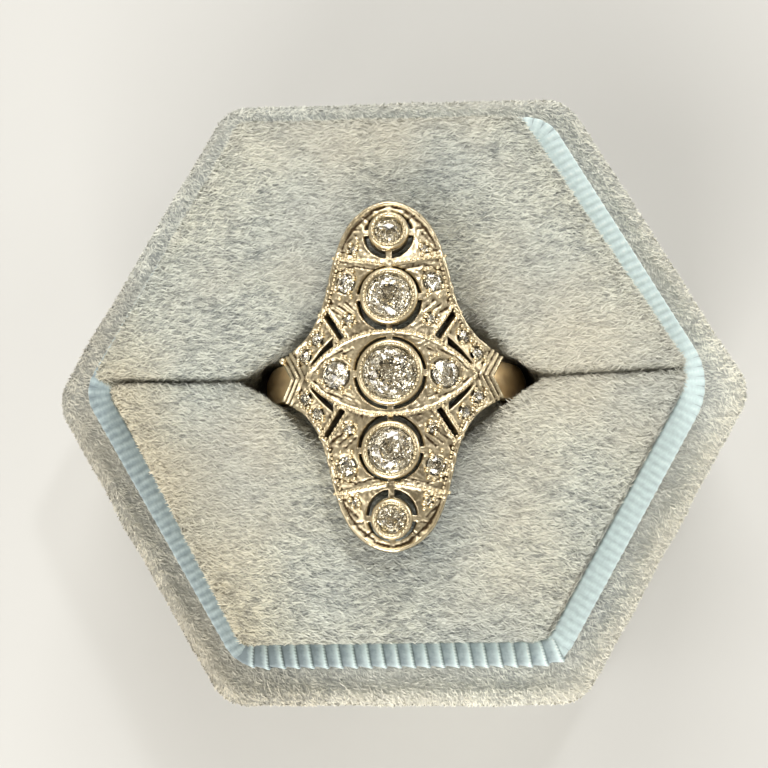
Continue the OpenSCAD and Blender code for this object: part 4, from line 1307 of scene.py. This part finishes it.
def milgrainPaths():
    # round each bezel, then along the marquise frame, the bars, both sides of the slots and the rim
    s = grainSizes
    paths = []
    for cup in bezels:
        at, r = faceFrame(cup["at"]), cup["stone"] + s["cupOut"]
        paths.append(([at @ Vector((r * math.cos(a), r * math.sin(a), bezelSizes["height"] + s["lift"]))
                       for a in [2 * math.pi * k / 60 for k in range(60)]], True))
    flat = inQuarters([(u, math.sqrt(panelRadius ** 2 - u ** 2) - panelRadius + panel["rise"])
                       for u in [0.15 + (panel["half"] - 0.35) * k / 16 for k in range(17)]])
    flat += inQuarters(straight(barEnds, 8))
    (u0, v0), (u1, v1) = slot["ends"]
    length = math.hypot(u1 - u0, v1 - v0)
    for out in (s["slotOut"], -s["slotOut"]):
        flat += inQuarters(straight(slot["ends"], 6, ((v1 - v0) / length * out, -(u1 - u0) / length * out)))
    flat += rimRuns()
    return paths + [([surfacePoint(u, v, s["lift"]) for u, v in path], False) for path in flat]


def holderPoints():
    # four beads hold each small stone
    points = []
    for su, sv, radius in smallStones:
        for mu in (1, -1):
            for mv in ((1, -1) if sv else (1,)):
                for k in range(4):
                    a = 0.35 * mu * mv + math.pi / 4 + k * math.pi / 2
                    reach = radius + 0.05
                    points.append(surfacePoint(mu * su + reach * math.cos(a), mv * sv + reach * math.sin(a),
                                               0.07 + 0.05 * radius))
    return points


def fillerPoints():
    # smaller grains fill the corners of the fields
    points = []
    for place in fillerPlaces:
        for ((u, v),) in inQuarters([place]):
            if metalField(np.array([u]), np.array([v]))[0] < -0.08:
                points.append(surfacePoint(u, v, grainSizes["lift"]))
    return points


def shortPaths(points):
    # each is far shorter than the spacing, so that it gets a single grain
    return [([p, (p[0] + 0.002, p[1], p[2])], False) for p in points]


def makeGrains():
    s = grainSizes
    row = grainRow("milgrain", milgrainPaths(), s["spacing"], s["radius"])
    ballPath = [surfacePoint(u, v, s["ballLift"]) for u, v in s["ballPath"]]
    for name, paths, radius in (("holdingBeads", shortPaths(holderPoints()), s["holder"]),
                                ("fillingGrains", shortPaths(fillerPoints()), s["filler"]),
                                ("shoulderBall", [(ballPath, False)], s["ball"])):
        joinPieces(row, grainRow(name, paths, 1, radius))
    mark(row, "wearAndShade", [1.0] * len(row.data.vertices))
    return row


headLoop = outlineLoop()
grainShape = grainTree()
for piece in (makeHead(), makeBezels(), makeShank(), makeGrains()):
    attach(piece, "root")
    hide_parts("ring_mount")
print("ring made")


# CAD nodes that stay: the collar's card and the stones

for name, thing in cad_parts.items():
    if "stone" in name or name == "collar":
        thing.data.materials.clear()
        thing.data.materials.append(cardBlue if name == "collar" else stoneClear)
print("carried-over nodes finished")


# floor

floorSizes = {"half": 900, "colour": (0.56, 0.56, 0.55, 1), "roughness": 0.7}
floorMaterial, floorNodes = newMaterial("paleFloor")
floorNodes.surface({"Base Color": floorSizes["colour"], "Roughness": floorSizes["roughness"]})
floorCorners = [(sx * floorSizes["half"], sy * floorSizes["half"], 0)
                for sx, sy in ((-1, -1), (1, -1), (1, 1), (-1, 1))]
meshPiece("floor", floorCorners, [(0, 1, 2, 3)], floorMaterial)
